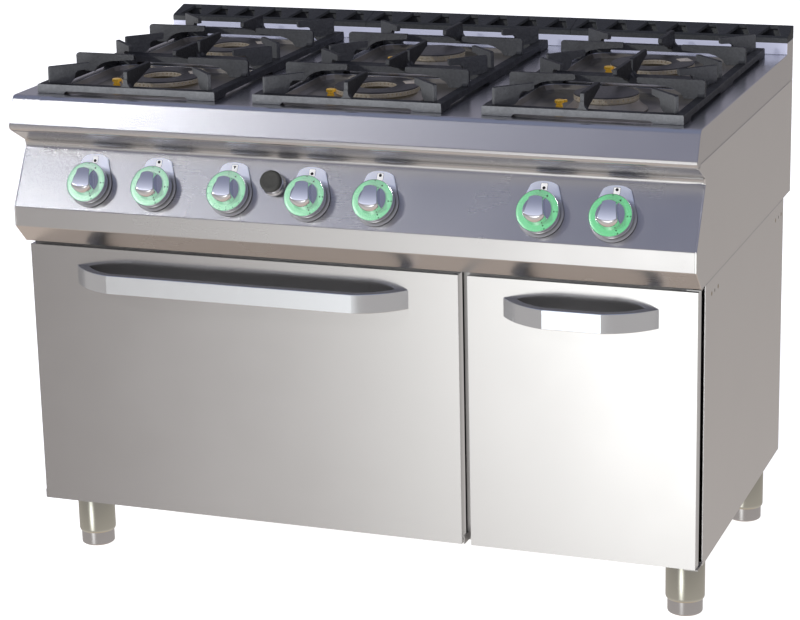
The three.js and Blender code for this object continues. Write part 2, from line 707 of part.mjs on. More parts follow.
// D-shaped bow: flat front, quarter-ellipse ends, seen from above; held just clear of the door
function bowHandle(spanX) {
  const { out, band, curve } = HANDLE;
  const [left, right] = inset(spanX, curve).map((x) => [x, 0]);
  const outer = [curve, out];
  const inner = [curve - band - 4, out - band];
  const outline = [
    ...arc(left, outer, [180, 270], 8),
    ...arc(right, outer, [270, 360], 8),
    ...arc(right, inner, [360, 270], 8),
    ...arc(left, inner, [270, 180], 8),
  ].map(([x, y]) => [x, Math.min(y, -0.02)]);
  return alongZ(outline, HANDLE.z);
}

const ovenDoor = groupAt(0, HINGE_Y, OVEN_HINGE_Z);
const cupboardDoor = groupAt(CUPBOARD_HINGE_X, HINGE_Y, 0);
placeOnDoor(ovenDoor, "oven_door_panel", ovenDoorPanel(), "stainless");
placeOnDoor(ovenDoor, "oven_door_liner", ovenDoorLiner(), "zinc");
placeOnDoor(cupboardDoor, "cupboard_door", cupboardDoorPanel(), "stainless");
placeOnDoor(ovenDoor, "oven_door_handle", bowHandle(OVEN_HANDLE_X), "handle");
placeOnDoor(cupboardDoor, "cupboard_door_handle", bowHandle(CUPBOARD_HANDLE_X), "handle");

// ------------------------------------------------------------------ feet
const FOOT_X = 551.6;
const FOOT_Y = [108.4, 569.6];
const SLEEVE = { r: 33.2, boreR: 30.5, bottom: 25.2, top: CARCASS_BOTTOM - GAP };
const ADJUSTER_R = 29.9;

// profiles in (radius, z)
const SLEEVE_PROFILE = closed([
  [SLEEVE.boreR, SLEEVE.bottom], [SLEEVE.r, SLEEVE.bottom], [SLEEVE.r, SLEEVE.top],
  [10.5, SLEEVE.top], [10.5, 78], [SLEEVE.boreR, 78],
]);
const ADJUSTER_PROFILE = [
  [0, 0], [28.2, 0], [ADJUSTER_R, 1.8], [ADJUSTER_R, 56], [10, 56], [10, 98], [0, 98],
];
for (const [side, x] of [["left", -FOOT_X], ["right", FOOT_X]])
  for (const [end, y] of [["front", FOOT_Y[0]], ["rear", FOOT_Y[1]]]) {
    const foot = groupAt(x, y, 0);
    const name = end + "_" + side;
    const sleeve = lathe(SLEEVE_PROFILE, 16);
    place("foot_sleeve_" + name, sleeve, "foot", [0, 0, SLEEVE.bottom], foot);
    place("foot_adjuster_" + name, lathe(ADJUSTER_PROFILE, 16), "zinc", [0, 0, 0], foot);
  }

range.position.y = ORIGIN_Y;
range.updateMatrixWorld(true);
export default range;
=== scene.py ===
import json
import math

import bmesh
import bpy
from mathutils import Matrix, Vector

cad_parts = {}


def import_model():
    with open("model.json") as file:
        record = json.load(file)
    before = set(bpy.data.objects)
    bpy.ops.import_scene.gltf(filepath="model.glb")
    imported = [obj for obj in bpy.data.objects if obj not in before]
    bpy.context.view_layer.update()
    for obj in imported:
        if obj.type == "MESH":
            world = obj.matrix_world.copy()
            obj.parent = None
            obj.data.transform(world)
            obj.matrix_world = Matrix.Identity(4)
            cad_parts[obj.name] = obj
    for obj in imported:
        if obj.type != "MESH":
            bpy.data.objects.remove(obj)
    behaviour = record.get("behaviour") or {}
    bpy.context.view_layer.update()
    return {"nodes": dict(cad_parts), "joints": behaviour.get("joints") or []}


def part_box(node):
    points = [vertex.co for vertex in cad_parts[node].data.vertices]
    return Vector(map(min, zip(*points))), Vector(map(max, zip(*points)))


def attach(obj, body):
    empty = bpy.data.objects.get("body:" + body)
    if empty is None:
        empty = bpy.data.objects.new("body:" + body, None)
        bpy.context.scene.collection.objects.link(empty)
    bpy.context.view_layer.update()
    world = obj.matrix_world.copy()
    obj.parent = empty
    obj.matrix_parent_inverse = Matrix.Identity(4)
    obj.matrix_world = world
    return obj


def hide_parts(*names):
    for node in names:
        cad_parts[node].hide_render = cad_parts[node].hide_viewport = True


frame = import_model()


scene = bpy.context.scene
JOINTS = {joint["name"]: joint for joint in frame["joints"]}

DOOR_FACE_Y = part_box("oven_door_panel")[0].y
MM_SCALE = Matrix.Scale(0.001, 4)
MM = Matrix.Translation((0, DOOR_FACE_Y, 0)) @ MM_SCALE  # working millimetres -> frame metres

# axes of the sloping panel: out of it, along the range, up the slope
PANEL_OUT = Vector(JOINTS["turn_front_left"]["axis"]).normalized()
ALONG = Vector((1, 0, 0))
UP_SLOPE = PANEL_OUT.cross(ALONG)

BURNERS = [
    "front_left", "rear_left", "front_middle", "rear_middle", "front_right", "rear_right",
]
SOLID_BURNERS = ("rear_middle", "front_right")  # the others are open rings
KNOBS = [
    "front_left", "rear_left", "oven", "front_middle", "rear_middle", "front_right", "rear_right",
]
FEET = ["front_left", "rear_left", "front_right", "rear_right"]

# ---------------------------------------------------------------- shader node helpers

NOISE_BAND = (0.3, 0.7)  # the range in which most noise values lie


class Graph:
    """Adds shader nodes to one tree."""

    def __init__(self, tree, clear=True):
        self.tree = tree
        self.object_coords = None
        if clear:
            tree.nodes.clear()

    def node(self, kind, **props):
        node = self.tree.nodes.new(kind)
        for name, value in props.items():
            setattr(node, name, value)
        return node

    def put(self, socket, value):
        """links a socket, or sets a value; a colour of three gets alpha 1"""
        if isinstance(value, bpy.types.NodeSocket):
            self.tree.links.new(value, socket)
        elif isinstance(value, (tuple, list)) and len(value) == 3 and socket.type == "RGBA":
            socket.default_value = (*value, 1.0)
        else:
            socket.default_value = value

    def fill(self, node, **values):
        """sets inputs by name, with _ for a space; returns the first output"""
        for name, value in values.items():
            self.put(node.inputs[name.replace("_", " ")], value)
        return node.outputs[0]

    def math(self, op, a, b=0.0, c=0.0, clamp=False):
        node = self.node("ShaderNodeMath", operation=op, use_clamp=clamp)
        for socket, value in zip(node.inputs, (a, b, c)):
            self.put(socket, value)
        return node.outputs[0]

    def add(self, a, b, clamp=False):
        return self.math("ADD", a, b, clamp=clamp)

    def sub(self, a, b, clamp=False):
        return self.math("SUBTRACT", a, b, clamp=clamp)

    def mul(self, a, b):
        return self.math("MULTIPLY", a, b)

    def div(self, a, b):
        return self.math("DIVIDE", a, b)

    def above(self, a, limit):
        return self.math("GREATER_THAN", a, limit)

    def below(self, a, limit):
        return self.math("LESS_THAN", a, limit)

    def absolute(self, a):
        return self.math("ABSOLUTE", a)

    def square(self, a):
        return self.math("POWER", self.absolute(a), 2.0)

    def dot(self, vector, axis):
        node = self.node("ShaderNodeVectorMath", operation="DOT_PRODUCT")
        self.put(node.inputs[0], vector)
        node.inputs[1].default_value = tuple(axis)
        return node.outputs["Value"]

    def xyz(self, vector):
        node = self.node("ShaderNodeSeparateXYZ")
        self.put(node.inputs[0], vector)
        return node.outputs

    def geometry(self, output):
        return self.node("ShaderNodeNewGeometry").outputs[output]

    def tex_coord(self, output):
        return self.node("ShaderNodeTexCoord").outputs[output]

    def coords(self, scale=(1, 1, 1)):
        if self.object_coords is None:
            self.object_coords = self.tex_coord("Object")
        mapping = self.node("ShaderNodeMapping")
        return self.fill(mapping, Vector=self.object_coords, Scale=scale)

    def noise(self, vector, scale, detail=2.0, rough=0.5):
        node = self.node("ShaderNodeTexNoise")
        return self.fill(node, Vector=vector, Scale=scale, Detail=detail, Roughness=rough)

    def cells(self, vector, scale):
        node = self.node("ShaderNodeTexVoronoi", feature="F1")
        self.fill(node, Vector=vector, Scale=scale)
        return node.outputs["Distance"]

    def remap(self, value, source, target=(0.0, 1.0)):
        """takes the source range to the target range"""
        return self.fill(
            self.node("ShaderNodeMapRange"), Value=value,
            From_Min=source[0], From_Max=source[1], To_Min=target[0], To_Max=target[1],
        )

    def mix(self, factor, a, b, blend="MIX"):
        node = self.node("ShaderNodeMix", data_type="RGBA", blend_type=blend)
        for index, value in ((0, factor), (6, a), (7, b)):
            self.put(node.inputs[index], value)
        return node.outputs[2]

    def bump(self, height, strength, distance):
        node = self.node("ShaderNodeBump")
        return self.fill(node, Strength=strength, Distance=distance, Height=height)

    def emission(self, color, strength=1.0):
        return self.fill(self.node("ShaderNodeEmission"), Color=color, Strength=strength)

    def background(self, color):
        return self.fill(self.node("ShaderNodeBackground"), Color=color)

    def add_shaders(self, a, b):
        node = self.node("ShaderNodeAddShader")
        self.put(node.inputs[0], a)
        self.put(node.inputs[1], b)
        return node.outputs[0]

    def mix_shaders(self, factor, a, b):
        node = self.node("ShaderNodeMixShader")
        for socket, value in zip(node.inputs, (factor, a, b)):
            self.put(socket, value)
        return node.outputs[0]

    def glow(self, surface, color, strength=1.0):
        self.fill(surface, Emission_Color=color, Emission_Strength=strength)

    def across(self, left, right):
        """a colour that changes from the left knobs to the right ones"""
        x = self.xyz(self.geometry("Position"))[0]
        return self.mix(self.remap(x, (-0.46, 0.46)), left, right)


MATERIALS = {}


def material(name):
    """a new material in the table; returns its graph and its principled node"""
    new = bpy.data.materials.new(name)
    new.use_nodes = True
    MATERIALS[name] = new
    g = Graph(new.node_tree)
    output = g.node("ShaderNodeOutputMaterial")
    surface = g.node("ShaderNodeBsdfPrincipled")
    g.put(output.inputs["Surface"], surface.outputs[0])
    return g, surface


def reopen(name):
    """a new graph on a finished material, for adding to it"""
    g = Graph(MATERIALS[name].node_tree, clear=False)
    return g, next(n for n in g.tree.nodes if n.type == "BSDF_PRINCIPLED")


def source_of(surface, name):
    return surface.inputs[name].links[0].from_socket


def around(value, spread):
    return value - spread, value + spread


# ---------------------------------------------------------------- kinds of material


def steel(name, color, rough=0.2, grain="x", var=0.03, bump=0.02, tint=0.02, metal=1.0):
    """brushed sheet: long streaks along one axis, faint cloudy handling marks"""
    g, surface = material(name)
    scale = tuple(6 if axis == grain else 700 for axis in "xyz")
    streak = g.noise(g.coords(scale), scale=1.0, detail=3.0, rough=0.6)
    fine = g.noise(g.coords(tuple(s * 3.1 for s in scale)), scale=1.0, detail=1.0)
    cloud = g.noise(g.coords((1, 1, 1)), scale=5.0, detail=4.0, rough=0.55)
    brushed = g.math("MULTIPLY_ADD", fine, 0.5, g.mul(streak, 0.5))
    roughness = g.add(
        g.remap(brushed, NOISE_BAND, around(rough, var)),
        g.remap(cloud, (0.35, 0.7), (-0.02, 0.03)), clamp=True,
    )
    dark = tuple(c * (1 - tint) for c in color)
    light = tuple(min(1, c * (1 + tint)) for c in color)
    base = g.mix(g.remap(brushed, NOISE_BAND), dark, light)
    g.fill(surface, Roughness=roughness, Base_Color=base, Metallic=metal)
    if bump > 0:
        g.fill(surface, Normal=g.bump(brushed, strength=bump, distance=0.0002))


def cast(name, color, rough, bump, grain, metal=0.0, spec=0.5, light=1.5, top=None,
         front=1.0, glow=None):
    """sand casting with a pitted skin; light brightens the high spots. With top given, painted
    shade scales faces turned up by top and darkens faces turned right, and painted light
    scales those at the very front by front."""
    g, surface = material(name)
    coords = g.coords()
    pits = g.noise(coords, scale=grain, detail=4.0, rough=0.62)
    coarse = g.noise(coords, scale=grain * 0.22, detail=3.0, rough=0.55)
    cells = g.cells(coords, scale=grain * 0.9)
    height = g.math("MULTIPLY_ADD", coarse, 0.8, g.math("MULTIPLY_ADD", cells, 0.25, pits))
    depth = 0.0007 if top is None else 0.0012
    g.fill(surface, Normal=g.bump(height, strength=bump, distance=depth))
    tone = g.math("MULTIPLY_ADD", pits, 0.6, g.mul(coarse, 0.4))
    bright = tuple(min(1, c * light) for c in color)
    base = g.mix(g.remap(tone, NOISE_BAND), tuple(c * 0.8 for c in color), bright)
    if top is not None:
        # painted light and shade: the front bars are lightened by front, faces turned up are
        # darkened by top, faces turned right are darkened
        normal = g.xyz(g.geometry("True Normal"))
        position = g.xyz(g.geometry("Position"))
        at_front = g.below(position[1], DOOR_FACE_Y + 0.0095)
        pale = g.mix(at_front, base, (front, front, front), blend="MULTIPLY")
        facing_up = g.remap(normal[2], (0.25, 0.8))
        base = g.mix(facing_up, pale, tuple(c * top for c in color))
        facing_right = g.remap(normal[0], (0.86, 0.97))
        base = g.mix(facing_right, base, tuple(c * 0.24 for c in color))
    g.fill(
        surface, Base_Color=base, Roughness=g.remap(coarse, NOISE_BAND, around(rough, 0.06)),
        Metallic=metal, Specular_IOR_Level=spec,
    )
    if glow is not None:
        g.glow(surface, glow)


def polished(name, color, rough, var=0.03, metal=1.0, glow=None):
    """smooth metal with faint swirls"""
    g, surface = material(name)
    coords = g.coords()
    swirl = g.noise(coords, scale=60.0, detail=4.0, rough=0.6)
    fine = g.noise(coords, scale=840.0)
    roughness = g.add(
        g.remap(swirl, NOISE_BAND, around(rough, var)),
        g.remap(fine, NOISE_BAND, (-0.01, 0.02)), clamp=True,
    )
    base = g.mix(g.remap(fine, NOISE_BAND), tuple(c * 0.96 for c in color), color)
    g.fill(
        surface, Roughness=roughness, Base_Color=base,
        Normal=g.bump(fine, strength=0.003, distance=0.0001), Metallic=metal,
    )
    if glow is not None:
        g.glow(surface, glow)


def plastic(name, color, rough, glow=0.0):
    """matt plastic or print with a fine grain"""
    g, surface = material(name)
    coords = g.coords()
    grain = g.noise(coords, scale=2500.0)
    cloud = g.noise(coords, scale=30.0, detail=3.0)
    dark = tuple(c * (1 - 0.08) for c in color)
    light = tuple(min(1, c * (1 + 0.08)) for c in color)
    g.fill(
        surface, Roughness=g.remap(grain, NOISE_BAND, (rough - 0.04, rough + 0.05)),
        Base_Color=g.mix(g.remap(cloud, NOISE_BAND), dark, light),
        Normal=g.bump(grain, strength=0.05, distance=0.0002),
    )
    if glow:
        g.glow(surface, color, glow)


# ---------------------------------------------------------------- special materials

STUDIO_TONE = 0.62  # reflectance the studio reflections are balanced for

# flush screws in the side panel: radius in mm, colour of the head
BRASS_SCREW = (3.4, (0.30, 0.22, 0.07))
DARK_SCREW = (2.6, (0.08, 0.078, 0.075))
SCREW_Z = 570.5
SIDE_SCREWS = (  # y, kind
    (67.6, BRASS_SCREW), (88.7, DARK_SCREW), (112.9, BRASS_SCREW),
    (564.0, BRASS_SCREW), (589.2, DARK_SCREW), (612.0, BRASS_SCREW),
)


def side_material():
    """brushed sheet with flush fixing screws, each in a dark rim"""
    name = "steel_side_right"
    steel(name, (0.745, 0.745, 0.75), rough=0.2, grain="z", var=0.012, bump=0.003, tint=0.012)
    g, surface = reopen(name)
    _, y, z = g.xyz(g.geometry("Position"))
    color = source_of(surface, "Base Color")
    for screw_y, (radius, head) in SIDE_SCREWS:
        off_y = g.square(g.sub(y, screw_y / 1000.0 + DOOR_FACE_Y))
        off_z = g.square(g.sub(z, SCREW_Z / 1000.0))
        distance = g.math("SQRT", g.add(off_y, off_z))
        rim = g.remap(distance, ((radius + 0.5) / 1000.0, (radius + 0.2) / 1000.0))
        core = g.remap(distance, (radius / 1000.0, (radius - 0.3) / 1000.0))
        color = g.mix(rim, color, (0.05, 0.048, 0.045))
        color = g.mix(core, color, head)
    g.fill(surface, Base_Color=color)


def door_material():
    """brushed door sheet: painted shade darkens it towards the left; the folded edge facing
    right is painted dark and carries a painted glow
    """
    steel("steel_front", (STUDIO_TONE,) * 3, rough=0.17, var=0.02, bump=0.006, tint=0.012,
          metal=0.9)
    g, surface = reopen("steel_front")
    geometry = g.node("ShaderNodeNewGeometry")
    normal = g.xyz(geometry.outputs["True Normal"])
    position = g.xyz(geometry.outputs["Position"])
    # painted shade: darker towards the left
    shade = g.mix(g.remap(position[0], (-0.58, 0.15)), (0.79, 0.78, 0.78), (1.05, 1.05, 1.05))
    shaded = g.mix(1.0, source_of(surface, "Base Color"), shade, blend="MULTIPLY")
    # painted shade and painted light on the folded edge facing right: a dark colour with a glow
    # that grows towards the back
    edge = g.remap(normal[0], (0.85, 0.98))
    edge_painted_light = g.remap(position[1], (DOOR_FACE_Y, DOOR_FACE_Y + 0.018), (0.24, 0.38))
    g.fill(surface, Base_Color=g.mix(edge, shaded, (0.12, 0.118, 0.115)))
    g.glow(surface, (0.98, 0.94, 0.91), g.mul(edge, edge_painted_light))


def worktop_material():
    """brushed top; the pressed basins and the strip under each front bar are duller, and painted
    shade makes them darker and browner; the upstand face is pale with a painted reflection
    and a painted glow
    """
    steel("steel_top", (STUDIO_TONE, STUDIO_TONE, STUDIO_TONE * 1.02), rough=0.25, var=0.004,
          bump=0.0, tint=0.006)
    g, surface = reopen("steel_top")
    x, y, z = g.xyz(g.geometry("Position"))

    def past(offset):
        return g.above(y, DOOR_FACE_Y + offset)

    def before(offset):
        return g.below(y, DOOR_FACE_Y + offset)

    # painted shade in the basins: below the rim height, within the depth and width of the top
    sunk = g.remap(z, (0.8560, 0.8552))
    duller_and_shaded = g.mul(sunk, g.mul(past(0.015), before(0.615)))
    duller_and_shaded = g.mul(duller_and_shaded, g.below(g.absolute(x), 0.56))
    # painted shade on the strip between a front bar and its basin, under the bar, one stretch in
    # each 0.4 m of the width
    fold = g.math("PINGPONG", g.add(x, 0.6), 0.2)
    strip_start = g.remap(y, (DOOR_FACE_Y + 0.0105, DOOR_FACE_Y + 0.0125))
    lip = g.mul(g.mul(strip_start, before(0.0275)), g.above(fold, 0.085))
    duller_and_shaded = g.math("MAXIMUM", duller_and_shaded, g.mul(lip, g.above(z, 0.85)))
    shade_blotches = g.noise(g.coords(), scale=9.0, detail=4.0, rough=0.6)
    shade_brown = g.mix(g.remap(shade_blotches, NOISE_BAND), (0.165, 0.150, 0.124), (0.33, 0.305, 0.26))
    # painted reflection and painted glow on the upstand face: a pale lilac colour that also glows
    upstand = g.mul(g.mul(past(0.6335), before(0.6365)), g.above(z, 0.8572))
    color = g.mix(duller_and_shaded, source_of(surface, "Base Color"), shade_brown)
    color = g.mix(upstand, color, (0.70, 0.72, 0.86))
    roughness = g.add(source_of(surface, "Roughness"), g.mul(duller_and_shaded, 0.10), clamp=True)
    metal_loss = g.add(g.mul(duller_and_shaded, 0.35), g.mul(upstand, 0.6))
    g.fill(
        surface, Base_Color=color, Roughness=roughness,
        Metallic=g.sub(1.0, metal_loss, clamp=True),
    )
    g.glow(surface, (0.50, 0.52, 0.66), g.mul(upstand, 0.50))


def dial_material():
    """green print over bright metal: part of the light is mirrored, part is green; the print has
    a painted green glow, and a painted sheen glows brighter on the left knobs than the right
    """
    g, surface = material("dial_green")
    coords = g.coords()
    grain = g.noise(coords, scale=1500.0)
    cloud = g.noise(coords, scale=40.0, detail=3.0)
    metal = g.fill(
        surface, Roughness=g.remap(grain, NOISE_BAND, (0.24, 0.29)),
        Base_Color=(0.55, 0.58, 0.56), Metallic=1.0,
    )
    green = g.mix(g.remap(cloud, NOISE_BAND), (0.07, 0.84, 0.26), (0.09, 0.90, 0.29))
    diffuse = g.fill(g.node("ShaderNodeBsdfDiffuse"), Color=green)
    # painted light: the green print glows
    print_layer = g.add_shaders(diffuse, g.emission((0.04, 0.62, 0.17), strength=0.22))
    mixed = g.mix_shaders(0.55, metal, print_layer)
    # painted sheen: a glow that falls off from the left knobs to the right
    sheen = g.emission(g.across((0.27, 0.11, 0.25), (0.07, 0.05, 0.05)))
    output = next(n for n in g.tree.nodes if n.type == "OUTPUT_MATERIAL")
    g.fill_output = g.put(output.inputs["Surface"], g.add_shaders(mixed, sheen))


def handle_material():
    """satin bar whose upper and lower faces are painted darker, as painted shade"""
    polished("handle_satin", (0.88, 0.925, 0.975), rough=0.24, var=0.02)
    g, surface = reopen("handle_satin")
    normal = g.xyz(g.tex_coord("Normal"))
    # painted shade on the faces turned up and down
    flat = g.remap(g.absolute(normal[2]), (0.75, 0.98))
    base = g.mix(flat, source_of(surface, "Base Color"), (0.36, 0.37, 0.38))
    g.fill(surface, Base_Color=base)


def plate_material():
    """knob plate: grey and shiny round the knob, pale and matt on the tab, with a painted glow
    there that falls off from the left knobs to the right
    """
    polished("label_plate", (0.80, 0.82, 0.93), rough=0.42, var=0.03, metal=0.55)
    g, surface = reopen("label_plate")
    # painted light: a glow on the tab that falls off from the left knobs to the right
    glow_color = g.across((0.32, 0.34, 0.40), (0.02, 0.04, 0.08))
    tab = g.remap(g.dot(g.tex_coord("Object"), UP_SLOPE), (0.020, 0.034))
    g.glow(surface, glow_color, tab)
    base = g.mix(tab, (0.50, 0.50, 0.50), source_of(surface, "Base Color"))
    g.fill(surface, Base_Color=base, Roughness=g.remap(tab, (0.0, 1.0), (0.16, 0.42)))


def grip_material():
    """polished grip; a painted glow on the face brightens it towards its lower end"""
    polished("grip_chrome", (0.80, 0.81, 0.85), rough=0.09, var=0.02)
    g, surface = reopen("grip_chrome")
    coords = g.node("ShaderNodeTexCoord").outputs
    up_slope = g.dot(coords["Object"], UP_SLOPE)
    height = g.dot(coords["Object"], PANEL_OUT)
    facing = g.dot(coords["Normal"], PANEL_OUT)
    # painted light: a glow on the front face, stronger towards its lower end
    face = g.mul(g.remap(facing, (0.93, 0.985)), g.above(height, 0.036))
    lowness = g.remap(up_slope, (0.018, -0.012))
    amount = g.add(0.05, g.mul(g.math("POWER", lowness, 2.0), 0.47))
    g.glow(surface, (0.80, 0.84, 1.0), g.mul(face, amount))


door_material()
steel("steel_side", (0.735, 0.735, 0.74), grain="z", var=0.012, bump=0.003, tint=0.012)
side_material()
worktop_material()
steel("steel_panel", (STUDIO_TONE, STUDIO_TONE, STUDIO_TONE * 1.01), rough=0.26, var=0.004,
      bump=0.0, tint=0.006)
steel("steel_inner", (0.45, 0.45, 0.45), rough=0.34)
polished("chrome_soft", (0.74, 0.75, 0.77), rough=0.10)
# painted shade on faces turned up and right, painted light on the front bars
cast("cast_iron", (0.128, 0.133, 0.136), rough=0.56, bump=1.0, grain=230.0, spec=0.34,
     light=1.2, top=0.14, front=1.85)
# painted shade on faces turned up and right
cast("cast_iron_vent", (0.090, 0.094, 0.095), rough=0.58, bump=1.0, grain=230.0, spec=0.32,
     light=1.3, top=0.42)
cast("crown_enamel", (0.050, 0.047, 0.044), rough=0.42, bump=0.10, grain=900.0, metal=0.1,
     spec=0.32, light=1.15)
# painted light: the ported band glows
cast("crown_band", (0.74, 0.67, 0.55), rough=0.32, bump=0.10, grain=900.0, metal=0.6,
     light=1.1, glow=(0.030, 0.026, 0.019))
cast("cast_alloy", (0.42, 0.38, 0.31), rough=0.42, bump=0.25, grain=900.0, metal=0.85,
     light=1.2)
# painted light: the brass glows
polished("brass", (0.98, 0.66, 0.13), rough=0.24, var=0.05, glow=(0.15, 0.085, 0.008))
steel("zinc", (0.52, 0.52, 0.53), rough=0.33, grain="z", var=0.06)
handle_material()
polished("foot_tube", (0.64, 0.645, 0.575), rough=0.16)
polished("foot_collar", (0.62, 0.62, 0.63), rough=0.18)
plastic("black_print", (0.012, 0.012, 0.013), rough=0.5)
plastic("frame_grey", (0.22, 0.22, 0.24), rough=0.5)
# painted shade: black for the shade under the knob skirts and under the sign plates
plastic("shade_black", (0.02, 0.02, 0.021), rough=0.7)
cast("button_cap", (0.062, 0.062, 0.056), rough=0.72, bump=0.45, grain=1500.0, spec=0.35)
# painted light: the white signs glow
plastic("label_white", (0.90, 0.90, 0.90), rough=0.4, glow=0.42)
plate_material()
grip_material()
dial_material()
cast("vitreous_enamel", (0.020, 0.022, 0.027), rough=0.18, bump=0.05, grain=700.0, spec=0.6,
     light=1.6)
# painted shade: near-black for the face of each handle bar that is turned to the door
plastic("bow_inner_shade", (0.030, 0.027, 0.024), rough=0.5)
plastic("silicone_seal", (0.03, 0.03, 0.03), rough=0.55)

# ---------------------------------------------------------------- object helpers


def make_mesh(name, bm, material_name, matrix, angle=35.0):
    """bm is in millimetres in the frame of matrix. The mesh is turned to lie parallel to the
    row frame, in metres, so that its box is a tight one."""
    mesh = bpy.data.meshes.new(name)
    bmesh.ops.recalc_face_normals(bm, faces=bm.faces)
    turn = matrix.to_quaternion().to_matrix().to_4x4()
    bm.transform(turn @ MM_SCALE)
    bm.to_mesh(mesh)
    bm.free()
    for polygon in mesh.polygons:
        polygon.use_smooth = True
    mesh.set_sharp_from_angle(angle=math.radians(angle))
    mesh.materials.append(MATERIALS[material_name])
    return mesh


def place(name, mesh, body, matrix, replaces=None):
    piece = bpy.data.objects.new(name, mesh)
    scene.collection.objects.link(piece)
    piece.matrix_world = Matrix.Translation(matrix.translation)
    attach(piece, body)
    if replaces:
        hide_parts(replaces)
    return piece


def add_piece(name, bm, material_name, body, matrix=MM, angle=35.0, replaces=None):
    mesh = make_mesh(name, bm, material_name, matrix, angle)
    return place(name, mesh, body, matrix, replaces)


SHARED_MESHES = {}


def add_shared(key, name, build, material_name, body, matrix, angle=35.0, replaces=None):
    """build is called for the first piece of a key; later pieces use the same mesh"""
    if key not in SHARED_MESHES:
        SHARED_MESHES[key] = make_mesh(name, build(), material_name, matrix, angle)
    return place(name, SHARED_MESHES[key], body, matrix, replaces)


def add_weighted_normal(piece):
    modifier = piece.modifiers.new("weighted_normal", "WEIGHTED_NORMAL")
    modifier.mode = "FACE_AREA"
    modifier.weight = 90
    modifier.keep_sharp = True


def centre_mm(node):
    lo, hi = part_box(node)
    return (lo.x + hi.x) * 500.0, ((lo.y + hi.y) / 2 - DOOR_FACE_Y) * 1000.0


def upright_at(x, y):
    return MM @ Matrix.Translation((x, y, 0.0))


def basis(x_axis, y_axis, z_axis, origin):
    matrix = Matrix((x_axis, y_axis, z_axis)).transposed().to_4x4()
    matrix.translation = origin
    return matrix


def panel_frame(origin):
    """frame on the panel: x along the range, y up the slope, z out; millimetres"""
    return basis(ALONG, UP_SLOPE, PANEL_OUT, origin) @ MM_SCALE


# ---------------------------------------------------------------- mesh helpers


def ring_pairs(rings, closed):
    pairs = list(zip(rings, rings[1:]))
    if closed:
        pairs.append((rings[-1], rings[0]))
    return pairs


def strip(bm, a, b):
    """a closed band of quads between two loops"""
    for i in range(len(a)):
        j = (i + 1) % len(a)
        bm.faces.new((a[i], a[j], b[j], b[i]))


def lathe(bm, profile, segs, offset=(0, 0, 0), closed=False, radius_at=lambda r, h, i: r):
    """profile [(r, h)], revolved about local z; radius_at may vary r by segment"""
    ox, oy, oz = offset
    rings = []
    for r, h in profile:
        if r < 1e-6:
            rings.append([bm.verts.new((ox, oy, oz + h))])
            continue
        ring = []
        for i in range(segs):
            turn = 2 * math.pi * i / segs
            radius = radius_at(r, h, i)
            x, y = radius * math.cos(turn), radius * math.sin(turn)
            ring.append(bm.verts.new((ox + x, oy + y, oz + h)))
        rings.append(ring)
    for a, b in ring_pairs(rings, closed):
        for i in range(segs):
            j = (i + 1) % segs
            if len(a) == 1:
                bm.faces.new((a[0], b[i], b[j]))
            elif len(b) == 1:
                bm.faces.new((a[i], b[0], a[j]))
            else:
                bm.faces.new((a[i], b[i], b[j], a[j]))
    return bm


def round_path(points, radii, steps, closed=True):
    """rounds the corners of a 2D path; radii is one number or one for each point"""
    if isinstance(radii, (int, float)):
        radii = [radii] * len(points)
    rounded = []
    count = len(points)
    for i, point in enumerate(points):
        if not closed and i in (0, count - 1) or radii[i] <= 0:
            rounded.append(tuple(point))
            continue
        corner = Vector(point)
        back_way = Vector(points[i - 1]) - corner
        on_way = Vector(points[(i + 1) % count]) - corner
        back_length, on_length = back_way.length, on_way.length
        back_way.normalize()
        on_way.normalize()
        half_angle = back_way.angle(on_way) / 2
        cut = min(radii[i] / math.tan(half_angle), back_length * 0.49, on_length * 0.49)
        radius = cut * math.tan(half_angle)
        inward = (back_way + on_way).normalized()
        centre = corner + inward * (radius / math.sin(half_angle))
        start = corner + back_way * cut - centre
        end = corner + on_way * cut - centre
        start_angle = math.atan2(start.y, start.x)
        sweep = math.atan2(end.y, end.x) - start_angle
        while sweep > math.pi:
            sweep -= 2 * math.pi
        while sweep < -math.pi:
            sweep += 2 * math.pi
        for k in range(steps + 1):
            turn = start_angle + sweep * k / steps
            rounded.append(
                (centre.x + radius * math.cos(turn), centre.y + radius * math.sin(turn))
            )
    return rounded


def bevel_edges(bm, edges, width, segs, clamp=True):
    bmesh.ops.bevel(bm, geom=edges, offset=width, segments=segs, profile=0.5, affect="EDGES",
                    clamp_overlap=clamp)


def merge_into(bm, other):
    bmesh.ops.recalc_face_normals(other, faces=other.faces)
    carrier = bpy.data.meshes.new("tmp")
    other.to_mesh(carrier)
    other.free()
    bm.from_mesh(carrier)
    bpy.data.meshes.remove(carrier)


def prism(bm, outline, z0, z1, bevel, segs, matrix=None):
    """closed prism of a 2D outline, the edges of both caps rounded"""
    solid = bmesh.new()
    low = [solid.verts.new((x, y, z0)) for x, y in outline]
    high = [solid.verts.new((x, y, z1)) for x, y in outline]
    solid.faces.new(list(reversed(low)))
    solid.faces.new(high)
    strip(solid, low, high)

    def on_cap(edge):
        za, zb = (v.co.z for v in edge.verts)
        return abs(za - zb) < 1e-6 and min(abs(za - z0), abs(za - z1)) < 1e-6

    bevel_edges(solid, [e for e in solid.edges if on_cap(e)], bevel, segs)
    if matrix is not None:
        solid.transform(matrix)
    merge_into(bm, solid)


